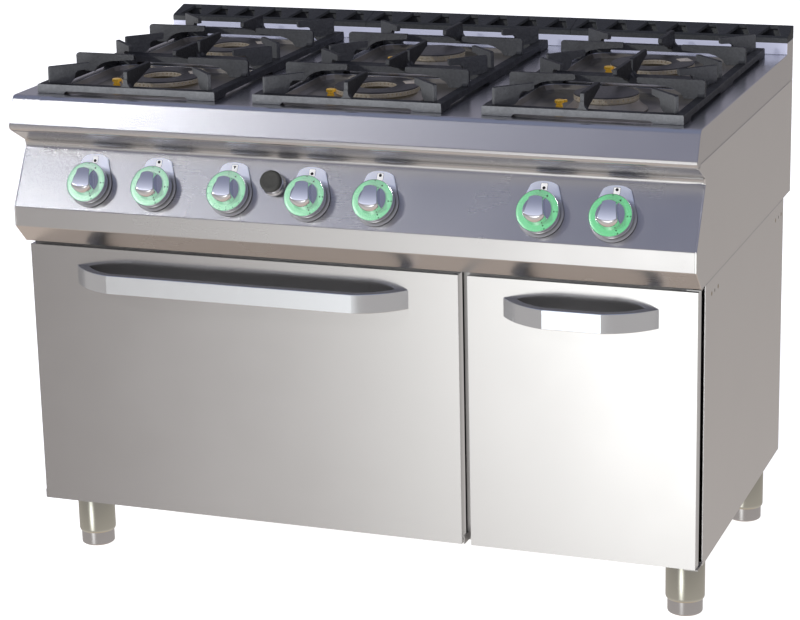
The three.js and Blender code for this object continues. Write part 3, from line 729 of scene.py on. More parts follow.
def tube(bm, points, radius, segs, closed=False):
    """round bar along a 3D polyline, mitred"""
    count = len(points)
    points = [Vector(p) for p in points]
    rings = []
    side = None
    for i, point in enumerate(points):
        ways = []
        if i > 0 or closed:
            ways.append((point - points[i - 1]).normalized())
        if i < count - 1 or closed:
            ways.append((points[(i + 1) % count] - point).normalized())
        tangent = ways[0] if len(ways) == 1 else (ways[0] + ways[1]).normalized()
        if side is None:
            side = tangent.orthogonal().normalized()
        side = (side - tangent * side.dot(tangent)).normalized()
        across = tangent.cross(side)
        ring = []
        for k in range(segs):
            turn = 2 * math.pi * k / segs
            spoke = side * math.cos(turn) + across * math.sin(turn)
            ring.append(bm.verts.new(point + spoke * radius))
        rings.append(ring)
    for a, b in ring_pairs(rings, closed):
        strip(bm, a, b)
    if not closed:
        bm.faces.new(list(reversed(rings[0])))
        bm.faces.new(rings[-1])


# ---------------------------------------------------------------- camera


def sky_direction(azimuth, elevation):
    """unit vector in degrees; azimuth 0 is straight in front, positive to the right"""
    a, e = math.radians(azimuth), math.radians(elevation)
    return Vector((math.sin(a) * math.cos(e), -math.cos(a) * math.cos(e), math.sin(e)))


def add_camera():
    data = bpy.data.cameras.new("camera")
    data.sensor_width = 36.0
    data.lens = 112.74525
    data.shift_x = 0.0460625
    data.shift_y = -0.0053
    data.clip_start, data.clip_end = 0.1, 60
    camera = bpy.data.objects.new("camera", data)
    scene.collection.objects.link(camera)
    backward = sky_direction(azimuth=21.1685, elevation=16.0309)
    roll = math.radians(-1.5407)
    level = (-backward).cross(Vector((0, 0, 1))).normalized()
    upward = level.cross(-backward)
    camera.matrix_world = basis(
        level * math.cos(roll) + upward * math.sin(roll),
        -level * math.sin(roll) + upward * math.cos(roll),
        backward, Vector((1.47490, -4.05737, 1.67776)),
    )
    scene.camera = camera


add_camera()

# ---------------------------------------------------------------- studio

DEGREES = 57.29578
SKY_GAIN = 1.0 / STUDIO_TONE
# light patches: centre azimuth, elevation; spread in azimuth, elevation (degrees); colour
SOFTBOXES = (
    (-8.69, -13.76, 7.03, 7.16, (1.565, 1.583, 1.562)),
    (-176.5, -75.0, 445.0, 55.6, (0.479, 0.443, 0.42)),
    (-33.1, 33.4, 6.5, 2.75, (0.469, 0.469, 0.495)),
)


def sky_color(color):
    return tuple(c * SKY_GAIN for c in color)


def build_world():
    """plain white to the camera, soft coloured patches to every other ray"""
    world = bpy.data.worlds.new("studio")
    scene.world = world
    world.use_nodes = True
    world.cycles.sampling_method = "NONE"
    g = Graph(world.node_tree)
    output = g.node("ShaderNodeOutputWorld")
    x, y, z = g.xyz(g.tex_coord("Generated"))
    azimuth = g.mul(g.math("ARCTAN2", x, g.mul(y, -1.0)), DEGREES)
    sine = g.math("MINIMUM", g.math("MAXIMUM", z, -0.9999), 0.9999)
    elevation = g.mul(g.math("ARCSINE", sine), DEGREES)

    def softbox(at_azimuth, at_elevation, wide, high):
        """a soft-edged patch, 0..1"""
        off = g.sub(azimuth, at_azimuth)
        off = g.sub(off, g.mul(g.math("ROUND", g.div(off, 360.0)), 360.0))
        a = g.square(g.div(off, wide))
        e = g.square(g.div(g.sub(elevation, at_elevation), high))
        return g.math("EXPONENT", g.mul(g.add(a, e), -0.5))

    # the upper half fades in about 4 degrees above the horizon, 5 degrees soft
    fade = g.math("EXPONENT", g.div(g.sub(4.0, elevation), 5.0))
    upper = g.div(1.0, g.add(1.0, fade))
    zenith = g.remap(elevation, (38.0, 70.0))
    parts = [(upper, (0.079, 0.085, 0.135)), (zenith, (0.070, 0.085, 0.115))]
    parts += [(softbox(*patch), color) for *patch, color in SOFTBOXES]
    total = None
    for amount, color in parts:
        scaled = g.node("ShaderNodeVectorMath", operation="SCALE")
        scaled.inputs[0].default_value = sky_color(color)
        g.put(scaled.inputs[3], amount)
        if total is None:
            total = scaled.outputs[0]
            continue
        summed = g.node("ShaderNodeVectorMath", operation="ADD")
        g.put(summed.inputs[0], total)
        g.put(summed.inputs[1], scaled.outputs[0])
        total = summed.outputs[0]
    nadir = g.remap(elevation, (-45.0, -62.0))
    total = g.mix(nadir, total, sky_color((0.402, 0.328, 0.275)))
    rays = g.node("ShaderNodeLightPath").outputs
    glossy, diffuse = g.background(total), g.background(total)
    seen = g.background((1.0, 1.0, 1.0))
    lighting = g.mix_shaders(rays["Is Glossy Ray"], diffuse, glossy)
    g.put(output.inputs["Surface"], g.mix_shaders(rays["Is Camera Ray"], lighting, seen))


def sun(name, azimuth, elevation, strength, spread, color, glossy):
    """a sun seen either by glossy rays or by diffuse ones"""
    data = bpy.data.lights.new(name, "SUN")
    data.energy = strength
    data.angle = math.radians(spread)
    data.color = color
    light = bpy.data.objects.new(name, data)
    scene.collection.objects.link(light)
    direction = sky_direction(azimuth, elevation)
    light.location = direction * 5
    light.rotation_mode = "QUATERNION"
    light.rotation_quaternion = (-direction).to_track_quat("-Z", "Y")
    light.visible_glossy = glossy
    light.visible_diffuse = not glossy


FLOOR_HALF, FLOOR_CELLS = 9, 24  # metres, cells on a side


def build_floor():
    """a pale sheet, far larger than the range"""
    bm = bmesh.new()
    steps = [-FLOOR_HALF + 2 * FLOOR_HALF * i / FLOOR_CELLS for i in range(FLOOR_CELLS + 1)]
    grid = [[bm.verts.new((x, y, 0.0)) for y in steps] for x in steps]
    for a, b in zip(grid, grid[1:]):
        for j in range(FLOOR_CELLS):
            bm.faces.new((a[j], b[j], b[j + 1], a[j + 1]))
    mesh = bpy.data.meshes.new("floor")
    bm.to_mesh(mesh)
    bm.free()
    g, surface = material("floor_pale")
    g.fill(surface, Base_Color=(0.82, 0.82, 0.82), Roughness=0.9, Specular_IOR_Level=0.0)
    g.glow(surface, (1, 1, 1), 0.95)
    mesh.materials.append(MATERIALS["floor_pale"])
    floor = bpy.data.objects.new("floor", mesh)
    scene.collection.objects.link(floor)
    floor.location.z = -0.0005
    floor.visible_glossy = False
    floor.visible_shadow = False


build_world()
sun("key_sheen", azimuth=-37.3, elevation=33.2, strength=0.13, spread=3.0,
    color=(1, 1, 1.01), glossy=True)
sun("key_body", azimuth=-37.3, elevation=31.0, strength=1.15, spread=3.0,
    color=(1.0, 0.99, 0.97), glossy=False)
sun("low_fill", azimuth=-8.7, elevation=-10.0, strength=0.55, spread=14.0,
    color=(1.0, 0.99, 0.97), glossy=False)
build_floor()

scene.view_settings.view_transform = "Standard"
scene.view_settings.look = "None"
scene.view_settings.exposure = 0.0
scene.view_settings.gamma = 1.0

# ---------------------------------------------------------------- carried-over CAD nodes

# node, material, bevel width, bevel segments, smallest edge angle that is bevelled
CARRIED_NODES = [
    ("worktop", "steel_top", 1.2, 3, 8),
    ("upper_casing", "steel_side", 0.8, 2),
    ("gas_rail_with_taps", "brass", 0.8, 2),
    ("side_panel_left", "steel_side_right", 0.5, 2),
    ("side_panel_right", "steel_side_right", 0.5, 2),
    ("carcass_frame", "steel_inner"),
    ("oven_liner", "vitreous_enamel", 0.6, 2),
    ("oven_flame_tube", "zinc"),
    ("oven_shelf", "chrome_soft", 0.8, 2),
    ("oven_door_panel", "steel_front", 1.2, 3),
    ("oven_door_liner", "steel_inner", 1.2, 2),
    ("cupboard_door", "steel_front", 1.2, 3),
    *(("tap_spindle_" + name, "zinc", 0.3, 1) for name in KNOBS),
]


def dress_node(node, material_name, bevel=0.0, segs=2, angle=25.0):
    """keeps a node's own mesh; gives it a material and rounds its edges by modifier"""
    piece = frame["nodes"][node]
    piece.data.materials.clear()
    piece.data.materials.append(MATERIALS[material_name])
    weld = piece.modifiers.new("weld", "WELD")
    weld.merge_threshold = 2e-6
    if bevel:
        modifier = piece.modifiers.new("bevel", "BEVEL")
        modifier.width = bevel / 1000.0
        modifier.segments = segs
        modifier.limit_method = "ANGLE"
        modifier.angle_limit = math.radians(angle)
        modifier.use_clamp_overlap = True
        modifier.harden_normals = False
        modifier.miter_outer = "MITER_SHARP"
        add_weighted_normal(piece)


for row in CARRIED_NODES:
    dress_node(*row)

# ---------------------------------------------------------------- vents and panel fascia

# edges along the range on the fascia, as (y, z), with the rounding of each group
FASCIA_TOP_EDGES = ((13.4, 771.7), (16.2, 761.6))
FASCIA_LOW_EDGES = ((-39.1, 665.4), (-39.2, 630.8), (-4.0, 596.0))


def copied(node):
    """the node's own surface in working millimetres, flat faces rejoined"""
    source = frame["nodes"][node]
    bm = bmesh.new()
    bm.from_mesh(source.data)
    bm.transform(MM.inverted() @ source.matrix_world)
    bmesh.ops.remove_doubles(bm, verts=bm.verts, dist=0.003)
    bmesh.ops.dissolve_limit(bm, angle_limit=math.radians(0.5), verts=bm.verts, edges=bm.edges)
    return bm


def move_ends(bm, beyond, end):
    """points farther out in x than beyond go to end"""
    for v in bm.verts:
        if abs(v.co.x) > beyond:
            v.co.x = math.copysign(end, v.co.x)


def edges_along(bm, spots):
    """edges that run along x through the (y, z) spots"""
    found = []
    for edge in bm.edges:
        a, b = (v.co for v in edge.verts)
        if abs(a.y - b.y) < 0.02 and abs(a.z - b.z) < 0.02:
            if any(abs(a.y - y) < 0.15 and abs(a.z - z) < 0.15 for y, z in spots):
                found.append(edge)
    return found


def add_vent(side):
    bm = copied("vent_grille_" + side)
    move_ends(bm, beyond=593.9, end=599.9)
    creases = [
        e for e in bm.edges
        if len(e.link_faces) == 2 and e.calc_face_angle(0.0) > math.radians(25)
    ]
    bevel_edges(bm, creases, 1.0, 2)
    vent = add_piece("vent_casting_" + side, bm, "cast_iron_vent", "range_body")
    add_weighted_normal(vent)
    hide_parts("vent_grille_" + side)


def add_fascia():
    bm = copied("control_panel")
    move_ends(bm, beyond=596.0, end=596.98)
    bevel_edges(bm, edges_along(bm, FASCIA_TOP_EDGES), 4.4, 6, clamp=False)
    bevel_edges(bm, edges_along(bm, FASCIA_LOW_EDGES), 1.3, 3, clamp=False)
    fascia = add_piece("panel_fascia", bm, "steel_panel", "range_body")
    add_weighted_normal(fascia)
    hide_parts("control_panel")


for side in ("left", "middle", "right"):
    add_vent(side)
add_fascia()

# ---------------------------------------------------------------- grates

GRATE_X, GRATE_Y = 166.0, 149.8  # half sizes
BAR = 16.0  # bar thickness
BAR_FOOT, BAR_ARCH, BAR_TOP = 856.65, 861.2, 872.0  # heights
RIB_TOP = 900
RIB_HALF = 3.6
# lays an outline upright: its x stays, its y becomes z, its depth runs along -y
UPRIGHT = Matrix(((1, 0, 0, 0), (0, 0, -1, 0), (0, 1, 0, 0), (0, 0, 0, 1)))

FRONT_BAR = round_path(
    [(-GRATE_X, BAR_FOOT), (-GRATE_X + 50, BAR_FOOT), (-GRATE_X + 54, BAR_ARCH),
     (GRATE_X - 54, BAR_ARCH), (GRATE_X - 50, BAR_FOOT), (GRATE_X, BAR_FOOT),
     (GRATE_X - 0.6, BAR_TOP), (-GRATE_X + 0.6, BAR_TOP)],
    [1.0, 1.0, 2.6, 2.6, 1.0, 1.0, 1.6, 1.6], 4,
)
SIDE_BAR = round_path(
    [(-GRATE_Y + 14, BAR_FOOT), (-GRATE_Y + 44, BAR_FOOT), (-GRATE_Y + 48, BAR_ARCH),
     (GRATE_Y - 48, BAR_ARCH), (GRATE_Y - 44, BAR_FOOT), (GRATE_Y - 14, BAR_FOOT),
     (GRATE_Y - 14, 871.9), (-GRATE_Y + 14, 871.9)],
    [0, 1.0, 2.6, 2.6, 1.0, 0, 0, 0], 4,
)
RIB_X = round_path(
    [(GRATE_X - 0.8, 868), (GRATE_X - 1.6, RIB_TOP), (52, RIB_TOP), (52, 891), (99, 887.4),
     (112, 884), (124, 877.5), (130, 868)],
    [0, 4.0, 1.5, 1.5, 8, 8, 8, 0], 5,
)
RIB_Y = round_path(
    [(GRATE_Y - 4, 868), (GRATE_Y - 5, RIB_TOP), (52, RIB_TOP), (52, 891), (118, 872.5),
     (124, 868)],
    [0, 4.0, 1.5, 1.5, 6, 0], 4,
)
RIB_ROOT = round_path(  # flared root over the bar
    [(-15, 870.5), (-8.0, 872.9), (-4.4, 877.5), (-3.4, 886),
     (3.4, 886), (4.4, 877.5), (8.0, 872.9), (15, 870.5)],
    [0, 6, 6, 1.4, 1.4, 6, 6, 0], 4,
)
CORNER_RIB_FROM, CORNER_RIB_TO = (99, 81), (156, 140)


def spin(degrees):
    return Matrix.Rotation(math.radians(degrees), 4, "Z")


def grate_shape():
    bm = bmesh.new()
    for y in (GRATE_Y - BAR, -GRATE_Y):
        prism(bm, FRONT_BAR, y, y + BAR, 1.3, 2, UPRIGHT)
    for x in (-GRATE_X, GRATE_X - BAR):
        prism(bm, SIDE_BAR, x, x + BAR, 1.3, 2, spin(90) @ UPRIGHT)
    for outline, degrees, reach in (
        (RIB_X, 0, GRATE_X), (RIB_Y, 90, GRATE_Y), (RIB_X, 180, GRATE_X), (RIB_Y, 270, GRATE_Y)
    ):
        prism(bm, outline, -RIB_HALF, RIB_HALF, 1.2, 3, spin(degrees) @ UPRIGHT)
        prism(bm, RIB_ROOT, reach - 13.0, reach - 3.0, 1.2, 2, spin(degrees + 90) @ UPRIGHT)
    for sx in (-1, 1):
        for sy in (-1, 1):
            start = Vector((sx * CORNER_RIB_FROM[0], sy * CORNER_RIB_FROM[1], 0))
            way = Vector((sx * CORNER_RIB_TO[0], sy * CORNER_RIB_TO[1], 0)) - start
            length = way.length - 7.5
            outline = round_path(
                [(0, RIB_TOP), (length, RIB_TOP), (length + 0.6, 868), (37, 868), (30, 874),
                 (26.5, 887.6), (1.5, 889.2)],
                [1.5, 3, 0, 3, 5, 4, 1.5], 4,
            )
            turn = Matrix.Rotation(math.atan2(way.y, way.x), 4, "Z")
            at = Matrix.Translation(start) @ turn @ UPRIGHT
            prism(bm, outline, -RIB_HALF, RIB_HALF, 1.2, 3, at)
    return bm


for name in BURNERS:
    node = "grate_" + name
    grate = add_shared("grate", "grate_casting_" + name, grate_shape, "cast_iron", node,
                       upright_at(*centre_mm(node)))
    add_weighted_normal(grate)
    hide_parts(node)

# ---------------------------------------------------------------- knob grip

GRIP_SEGS = 132
GRIP_LOW, GRIP_NECK, GRIP_TOP = 23.2, 27.0, 43.4
# heights of the outlines; those above the neck are stretched to end at GRIP_TOP
GRIP_LEVELS = (
    23.2, 24.2, 25.2, 25.9, 26.2, 26.4, 26.6, 26.9, 27.4, 28.2, 29.2, 30.2, 31.2, 32.2, 33.2,
    34.0, 34.8, 35.6, 36.3, 37.0, 37.6, 38.2, 38.7, 39.1, 39.45, 39.75, 40.0, 40.18, 40.32,
    40.42, 40.48, 40.5,
)
GRIP_STRETCH_FROM = GRIP_LEVELS[-1] - GRIP_NECK
FACE_SHARES = (0.9, 0.78, 0.64, 0.48, 0.32, 0.16)  # rings of the front face
FACE_CROWN = 0.25
FACE_LEAN = 2.6  # how far the face sinks at its upper end


def smooth_min(a, b, reach):
    h = max(reach - abs(a - b), 0.0) / reach
    return min(a, b) - h * h * reach * 0.25


def grip_half_width(y):
    """half width of the bar, wider towards its lower end"""
    y = max(-26.0, min(24.0, y))
    return 14.3 - 0.245 * y + (0.0044 if y > 0 else 0.0062) * y * y


def grip_wall(ux, uy):
    """distance from the axis to the side of the bar along a direction, by iteration"""
    if abs(ux) < 1e-4:
        return 1e3
    distance = 14.0 / abs(ux)
    for _ in range(60):
        target = min(grip_half_width(distance * uy) / abs(ux), 200.0)
        distance = 0.6 * distance + 0.4 * target
    return distance


def grip_radius(wall, uy, h):
    """a round disc low down that turns into the bar at about h = 26.15"""
    disc = 24.4 - (h - 23.5) * 3.8 / 20.0
    waisted = smooth_min(disc, wall + (GRIP_TOP - h) * 0.02, 1.6)
    blend = 0.0 if h < 26.15 else min(1.0, ((h - 26.15) / 0.6)) ** 0.5
    radius = disc + (waisted - disc) * blend
    if h <= 26.25 and disc - waisted > 0.5:
        radius -= max(0.0, h - 25.6) ** 2 * 0.6
    # rounded front edge, far larger at the lower end
    lowness = max(0.0, -uy) ** 2.2
    edge_in = 1.0 + 8.2 * lowness
    edge_height = 1.0 + 10.2 * lowness
    if h > GRIP_TOP - edge_height:
        q = (h - (GRIP_TOP - edge_height)) / edge_height
        radius -= edge_in * (1 - math.sqrt(max(0.0, 1 - q * q)))
    return max(radius, 1.0)


def grip_lift(y, h):
    """the front face sinks towards its upper end"""
    if h < GRIP_NECK:
        return 0.0
    y = max(-14.0, min(22.0, y))
    share = (h - GRIP_NECK) / (GRIP_TOP - GRIP_NECK)
    return -share * (FACE_LEAN * (y + 14.0) ** 1.35 / 36.0 ** 1.35)


def grip_shape():
    turns = [2 * math.pi * i / GRIP_SEGS for i in range(GRIP_SEGS)]
    spokes = [(math.cos(t), math.sin(t)) for t in turns]
    walls = [grip_wall(ux, uy) for ux, uy in spokes]
    bm = bmesh.new()
    rings = []
    for h in GRIP_LEVELS:
        if h >= GRIP_NECK:
            h = GRIP_NECK + (h - GRIP_NECK) * (GRIP_TOP - GRIP_NECK) / GRIP_STRETCH_FROM
        ring = []
        for wall, (ux, uy) in zip(walls, spokes):
            r = grip_radius(wall, uy, h)
            ring.append(bm.verts.new((r * ux, r * uy, h + grip_lift(r * uy, h))))
        rings.append(ring)
    for a, b in ring_pairs(rings, closed=False):
        strip(bm, a, b)
    last = rings[-1]
    for share in FACE_SHARES:
        ring = []
        for v in rings[-1]:
            x, y = v.co.x * share, v.co.y * share
            z = GRIP_TOP + grip_lift(y, GRIP_TOP) + FACE_CROWN * (1 - share ** 2)
            ring.append(bm.verts.new((x, y, z)))
        strip(bm, last, ring)
        last = ring
    tip = bm.verts.new((0, 0, GRIP_TOP + grip_lift(0, GRIP_TOP) + FACE_CROWN))
    for i in range(GRIP_SEGS):
        bm.faces.new((last[i], last[(i + 1) % GRIP_SEGS], tip))
    base = bm.verts.new((0, 0, GRIP_LOW))
    for i in range(GRIP_SEGS):
        bm.faces.new((rings[0][(i + 1) % GRIP_SEGS], rings[0][i], base))
    return bm


# ---------------------------------------------------------------- knob dial, marks and plate

# profiles are (radius, height out of the panel)
SKIRT = [
    (33.2, 8.6), (34.0, 8.6), (34.5, 8.9), (34.7, 9.6), (34.8, 11.0), (34.82, 11.9),
    (34.2, 12.2), (34.2, 13.2), (34.88, 13.5), (35.1, 17.0), (35.25, 20.0), (35.4, 21.8),
    (35.6, 22.3), (35.75, 22.8), (35.65, 23.3), (35.3, 23.55), (34.9, 23.5), (34.7, 23.1),
    (34.65, 21.2), (4.3, 21.2), (4.3, 9.0), (9.0, 9.0), (9.0, 19.0), (32.8, 19.0),
]
SHADOW_RING = [(30.0, 6.6), (33.6, 6.6), (34.2, 7.1), (34.2, 8.4), (33.4, 8.8), (30.0, 8.8)]
DIAL = [
    (0, 21.3), (34.3, 21.3), (34.6, 21.6), (34.6, 23.0), (34.4, 23.3), (34.0, 23.4),
    (30.0, 23.42), (25.5, 23.42), (0, 23.42),
]
# dots: clockwise degrees from the top, distance from the axis, radius
OVEN_DOTS = [
    (degrees, *dot)
    for degrees in (0, *range(104, 281, 22))
    for dot in ((32.6, 0.85), (28.4, 0.55))
]
BURNER_DOTS = [
    (0, 33.2, 1.0), (90, 33.0, 1.05), (90, 27.9, 1.15), (152, 33.0, 1.05), (152, 27.3, 1.15),
]
ARROW_DEGREES = 27.7
MARK_LOW, MARK_HIGH = 23.3, 23.56


def marks_shape(dots):
    """printed dots and one small triangle pointing outwards"""
    bm = bmesh.new()
    for degrees, distance, r in dots:
        a = math.radians(90 - degrees)
        profile = [(0, MARK_LOW), (r, MARK_LOW), (r, 23.5), (r * 0.85, MARK_HIGH),
                   (0, MARK_HIGH)]
        lathe(bm, profile, 20, (distance * math.cos(a), distance * math.sin(a), 0))
    a = math.radians(90 - ARROW_DEGREES)
    outward = Vector((math.cos(a), math.sin(a)))
    sideways = Vector((-outward.y, outward.x))
    centre = outward * 29.0
    base = centre - outward * 1.5
    corners = (centre + outward * 1.8, base + sideways * 1.8, base - sideways * 1.8)
    prism(bm, [tuple(c) for c in corners], MARK_LOW, MARK_HIGH, 0.06, 1)
    return bm


def plate_outline(grow):
    """ring with a tab: the sides leave the ring tangentially and lean in by 20 degrees"""
    radius = 38.4 + grow
    lean = math.radians(20)
    side_x, side_y = radius * math.cos(lean), radius * math.sin(lean)
    steps = 84
    ring = []
    for i in range(steps + 1):
        a = lean - (math.pi + 2 * lean) * i / steps
        ring.append((radius * math.cos(a), radius * math.sin(a)))
    top = 55.8 + grow
    corner_y = 49.5 + grow
    corner_x = side_x - math.tan(lean) * (corner_y - side_y)
    tab = round_path(
        [ring[-1], (-corner_x, corner_y), (-15.0, top - 2.3), (-8.0, top - 0.6), (0, top),
         (8.0, top - 0.6), (15.0, top - 2.3), (corner_x, corner_y), ring[0]],
        [0, 7.5, 8, 20, 20, 20, 8, 7.5, 0], 7, closed=False,
    )
    return ring[1:-1] + tab


def plate_shape(z0, z1, grow, hole, bevel):
    """the outline with a round hole, as a closed solid with a rounded front edge"""
    bm = bmesh.new()
    outer = plate_outline(grow)
    angles = [math.atan2(y, x) for x, y in outer]
    inner = [(hole * math.cos(a), hole * math.sin(a)) for a in angles]
    inner_front = [(x * (hole + bevel) / hole, y * (hole + bevel) / hole) for x, y in inner]
    section = (
        (inner, z0), (outer, z0), (outer, z1 - bevel),
        (plate_outline(grow - bevel * 0.3), z1 - bevel * 0.3),
        (plate_outline(grow - bevel), z1), (inner_front, z1), (inner, z1 - bevel),
    )
    loops = [[bm.verts.new((x, y, z)) for x, y in path] for path, z in section]
    for a, b in ring_pairs(loops, closed=True):
        strip(bm, a, b)
    return bm


def position_mark(name):
    """a triangle for the oven, else a dot low on the sign for front burners, high for rear"""
    bm = bmesh.new()
    if name == "oven":
        prism(bm, [(-2.9, 49.4), (2.9, 49.4), (0.0, 43.6)], 3.75, 4.0, 0.05, 1)
    else:
        y = 43.8 if name.startswith("front") else 48.0
        profile = [(0, 3.75), (2.7, 3.75), (2.7, 3.95), (2.5, 4.0), (0, 4.0)]
        lathe(bm, profile, 28, (0, y, 0))
    return bm


def tab_sheet(corners, radius, z0, z1, bevel, segs):
    bm = bmesh.new()
    prism(bm, round_path(corners, radius, 4), z0, z1, bevel, segs)
    return bm


# pieces with one mesh for all knobs: name, shape, material, slot, sharp angle
KNOB_PIECES = (
    ("knob_shadow_ring", lambda: lathe(bmesh.new(), SHADOW_RING, 96, closed=True),
     "shade_black", "button_cap", 35.0),
    ("knob_dial", lambda: lathe(bmesh.new(), DIAL, 96), "dial_green", "chrome", 35.0),
    ("knob_grip", grip_shape, "grip_chrome", "chrome", 50.0),
)
PLATE_PIECES = (
    ("dial_plate", lambda: plate_shape(1.9, 3.5, grow=0.0, hole=30.0, bevel=0.55),
     "label_plate", "chrome", 40.0),
    # the spacer is black as painted shade under the plate
    ("plate_spacer", lambda: plate_shape(0.15, 2.0, grow=-0.7, hole=29.0, bevel=0.1),
     "shade_black", "button_cap", 40.0),
)


def add_knob(name):
    at = panel_frame(Vector(JOINTS["turn_" + name]["pos_m"]))
    body = "knob_" + name

    def add_set(pieces, rides_on):
        for key, build, material_name, slot, angle in pieces:
            add_shared(key, key + "_" + name, build, material_name, rides_on, at, angle)

    add_shared("knob_skirt", "knob_skirt_" + name,
               lambda: lathe(bmesh.new(), SKIRT, 96, closed=True),
               "chrome_soft", body, at, replaces=body)
    add_set(KNOB_PIECES, body)
    oven = name == "oven"
    add_shared("marks_oven" if oven else "marks_burner", "dial_marks_" + name,
               lambda: marks_shape(OVEN_DOTS if oven else BURNER_DOTS),
               "black_print", body, at)
    add_set(PLATE_PIECES, "range_body")
    # white sign on the tab, its mark, and a grey frame round it
    sign = tab_sheet([(-5.2, 39.5), (5.2, 39.5), (5.4, 51.6), (-5.4, 51.6)], 1.4,
                     3.4, 3.85, 0.12, 2)
    add_piece("plate_sign_" + name, sign, "label_white", "range_body", at)
    add_piece("plate_mark_" + name, position_mark(name), "black_print", "range_body",
              at)
    surround = tab_sheet([(-5.9, 39.0), (5.9, 39.0), (6.1, 52.3), (-6.1, 52.3)], 2.0,
                         3.35, 3.62, 0.08, 1)
    add_piece("plate_frame_" + name, surround, "frame_grey", "range_body", at)


for name in KNOBS:
    add_knob(name)

# ---------------------------------------------------------------- igniter

IGNITER_X = -125.0
SLOPE_FOOT_Y, SLOPE_FOOT_Z = FASCIA_LOW_EDGES[0]
SLOPE_Y, SLOPE_Z = 0.49837, 0.86697  # unit step up the slope
IGNITER_UP = 67.8  # distance up the slope
FERRULE = [
    (4.6, -48), (10.8, -48), (10.8, -30), (10.8, 0.35), (19.6, 0.35), (20.2, 0.9),
    (20.2, 1.8), (19.4, 2.6), (18.7, 3.2), (18.4, 5.0), (18.2, 6.6), (17.7, 7.3),
    (16.4, 7.6), (16.0, 8.0), (15.9, 11.4), (15.5, 11.8), (5.2, 12.0), (4.6, 11.6),
]
BUTTON = [
    (0, -30), (4.0, -30), (4.2, -29.5), (4.2, 18.0), (16.2, 18.0), (16.4, 17.5), (16.4, 13.4),
    (16.8, 12.9), (17.8, 12.8), (18.3, 13.3), (18.6, 15.0), (18.6, 20.2), (18.2, 21.8),
    (17.2, 23.0), (15.6, 23.8), (13.0, 24.0), (12.5, 23.85), (12.0, 23.6), (6.0, 23.45),
    (0, 23.4),
]


def knurled(r, h, i):
    """fine grooves on the side wall: two segments in each four lie deeper"""
    return r - (0.28 if i % 4 in (0, 1) and 13.2 < h < 21.0 and r > 16.9 else 0.0)


igniter_at = panel_frame(Vector((
    IGNITER_X / 1000.0,
    (SLOPE_FOOT_Y + SLOPE_Y * IGNITER_UP) / 1000.0 + DOOR_FACE_Y,
    (SLOPE_FOOT_Z + SLOPE_Z * IGNITER_UP) / 1000.0,
)))
add_piece("igniter_ferrule", lathe(bmesh.new(), FERRULE, 72, closed=True), "chrome_soft",
          "range_body", igniter_at, replaces="igniter_housing")
add_piece("igniter_cap", lathe(bmesh.new(), BUTTON, 96, radius_at=knurled), "button_cap",
          "igniter_button", igniter_at, replaces="igniter_button")

# ---------------------------------------------------------------- burners

# profiles are (radius, z)
POT_FOOT = [(0, 806.0), (41.4, 806.0), (42, 806.8), (42, 843.4), (43.0, 844.62)]
POT_BORE = [(38.0, 811.0), (37.0, 810.0), (0, 810.0)]
RING_FLANGE, SOLID_FLANGE = 84.0, 68.0
RING_SHOULDER = [
    (76.5, 850.0), (70.8, 853.6), (68.2, 856.6), (67.0, 857.35), (59.5, 857.35),
    (57.8, 856.6), (48.0, 852.6), (38.6, 849.2), (38.0, 848.0),
]
SOLID_SHOULDER = [
    (61.5, 850.4), (56.4, 855.4), (53.6, 859.6), (52.0, 861.2), (44.0, 861.2),
    (42.6, 860.4), (38.4, 853.0), (38.0, 851.0),
]
INLET_Z, INLET_END_Y = 824.6, -92
INLET_MOUTH = [
    (8.2, 0), (12, 0), (14.5, 2), (16, 7), (16, 18), (15.2, 18.6), (14.0, 18.0), (13.0, 8),
    (8.2, 4),
]
RING_CAP = [
    (33.4, 865.4), (72.2, 865.4), (72.5, 865.8), (72.3, 866.7), (71.2, 867.4), (69.5, 867.55),
    (52, 867.6), (35.6, 867.5), (34.2, 867.1), (33.2, 866.4), (33.1, 865.8),
]
RING_BAND_LOW = [
    (33.2, 857.6), (71.4, 857.6), (72.6, 858.2), (72.9, 859.4), (72.8, 860.6), (32.6, 860.6),
    (32.4, 859.0), (32.6, 858.0),
]
RING_BAND_HIGH = [
    (32.6, 863.6), (72.8, 863.6), (72.9, 864.4), (72.6, 865.4), (32.8, 865.4), (32.5, 864.4),
]
SOLID_CAP = [
    (0, 871.0), (53.2, 871.0), (53.6, 871.4), (53.3, 872.3), (52.0, 872.9), (49.5, 873.2),
    (0, 873.25),
]
SOLID_BAND_LOW = [
    (0, 861.5), (51.6, 861.5), (52.9, 862.2), (53.4, 863.6), (53.4, 865.6), (0, 865.6),
]
SOLID_BAND_HIGH = [(0, 868.4), (53.4, 868.4), (53.6, 869.4), (53.4, 871.0), (0, 871.0)]
NOZZLE_BASE = [(0, 844.4), (9.5, 844.4), (9.5, 846.6), (6.2, 847.4), (6.2, 857.0), (0, 857.0)]
NOZZLE_HEAD = [
    (0, 857.0), (5.0, 857.0), (5.0, 860.0), (7.6, 861.2), (7.6, 865.2), (6.8, 866.0),
    (0, 866.0),
]
PORT_SHARE = 0.34  # width of a slot as a share of the pitch


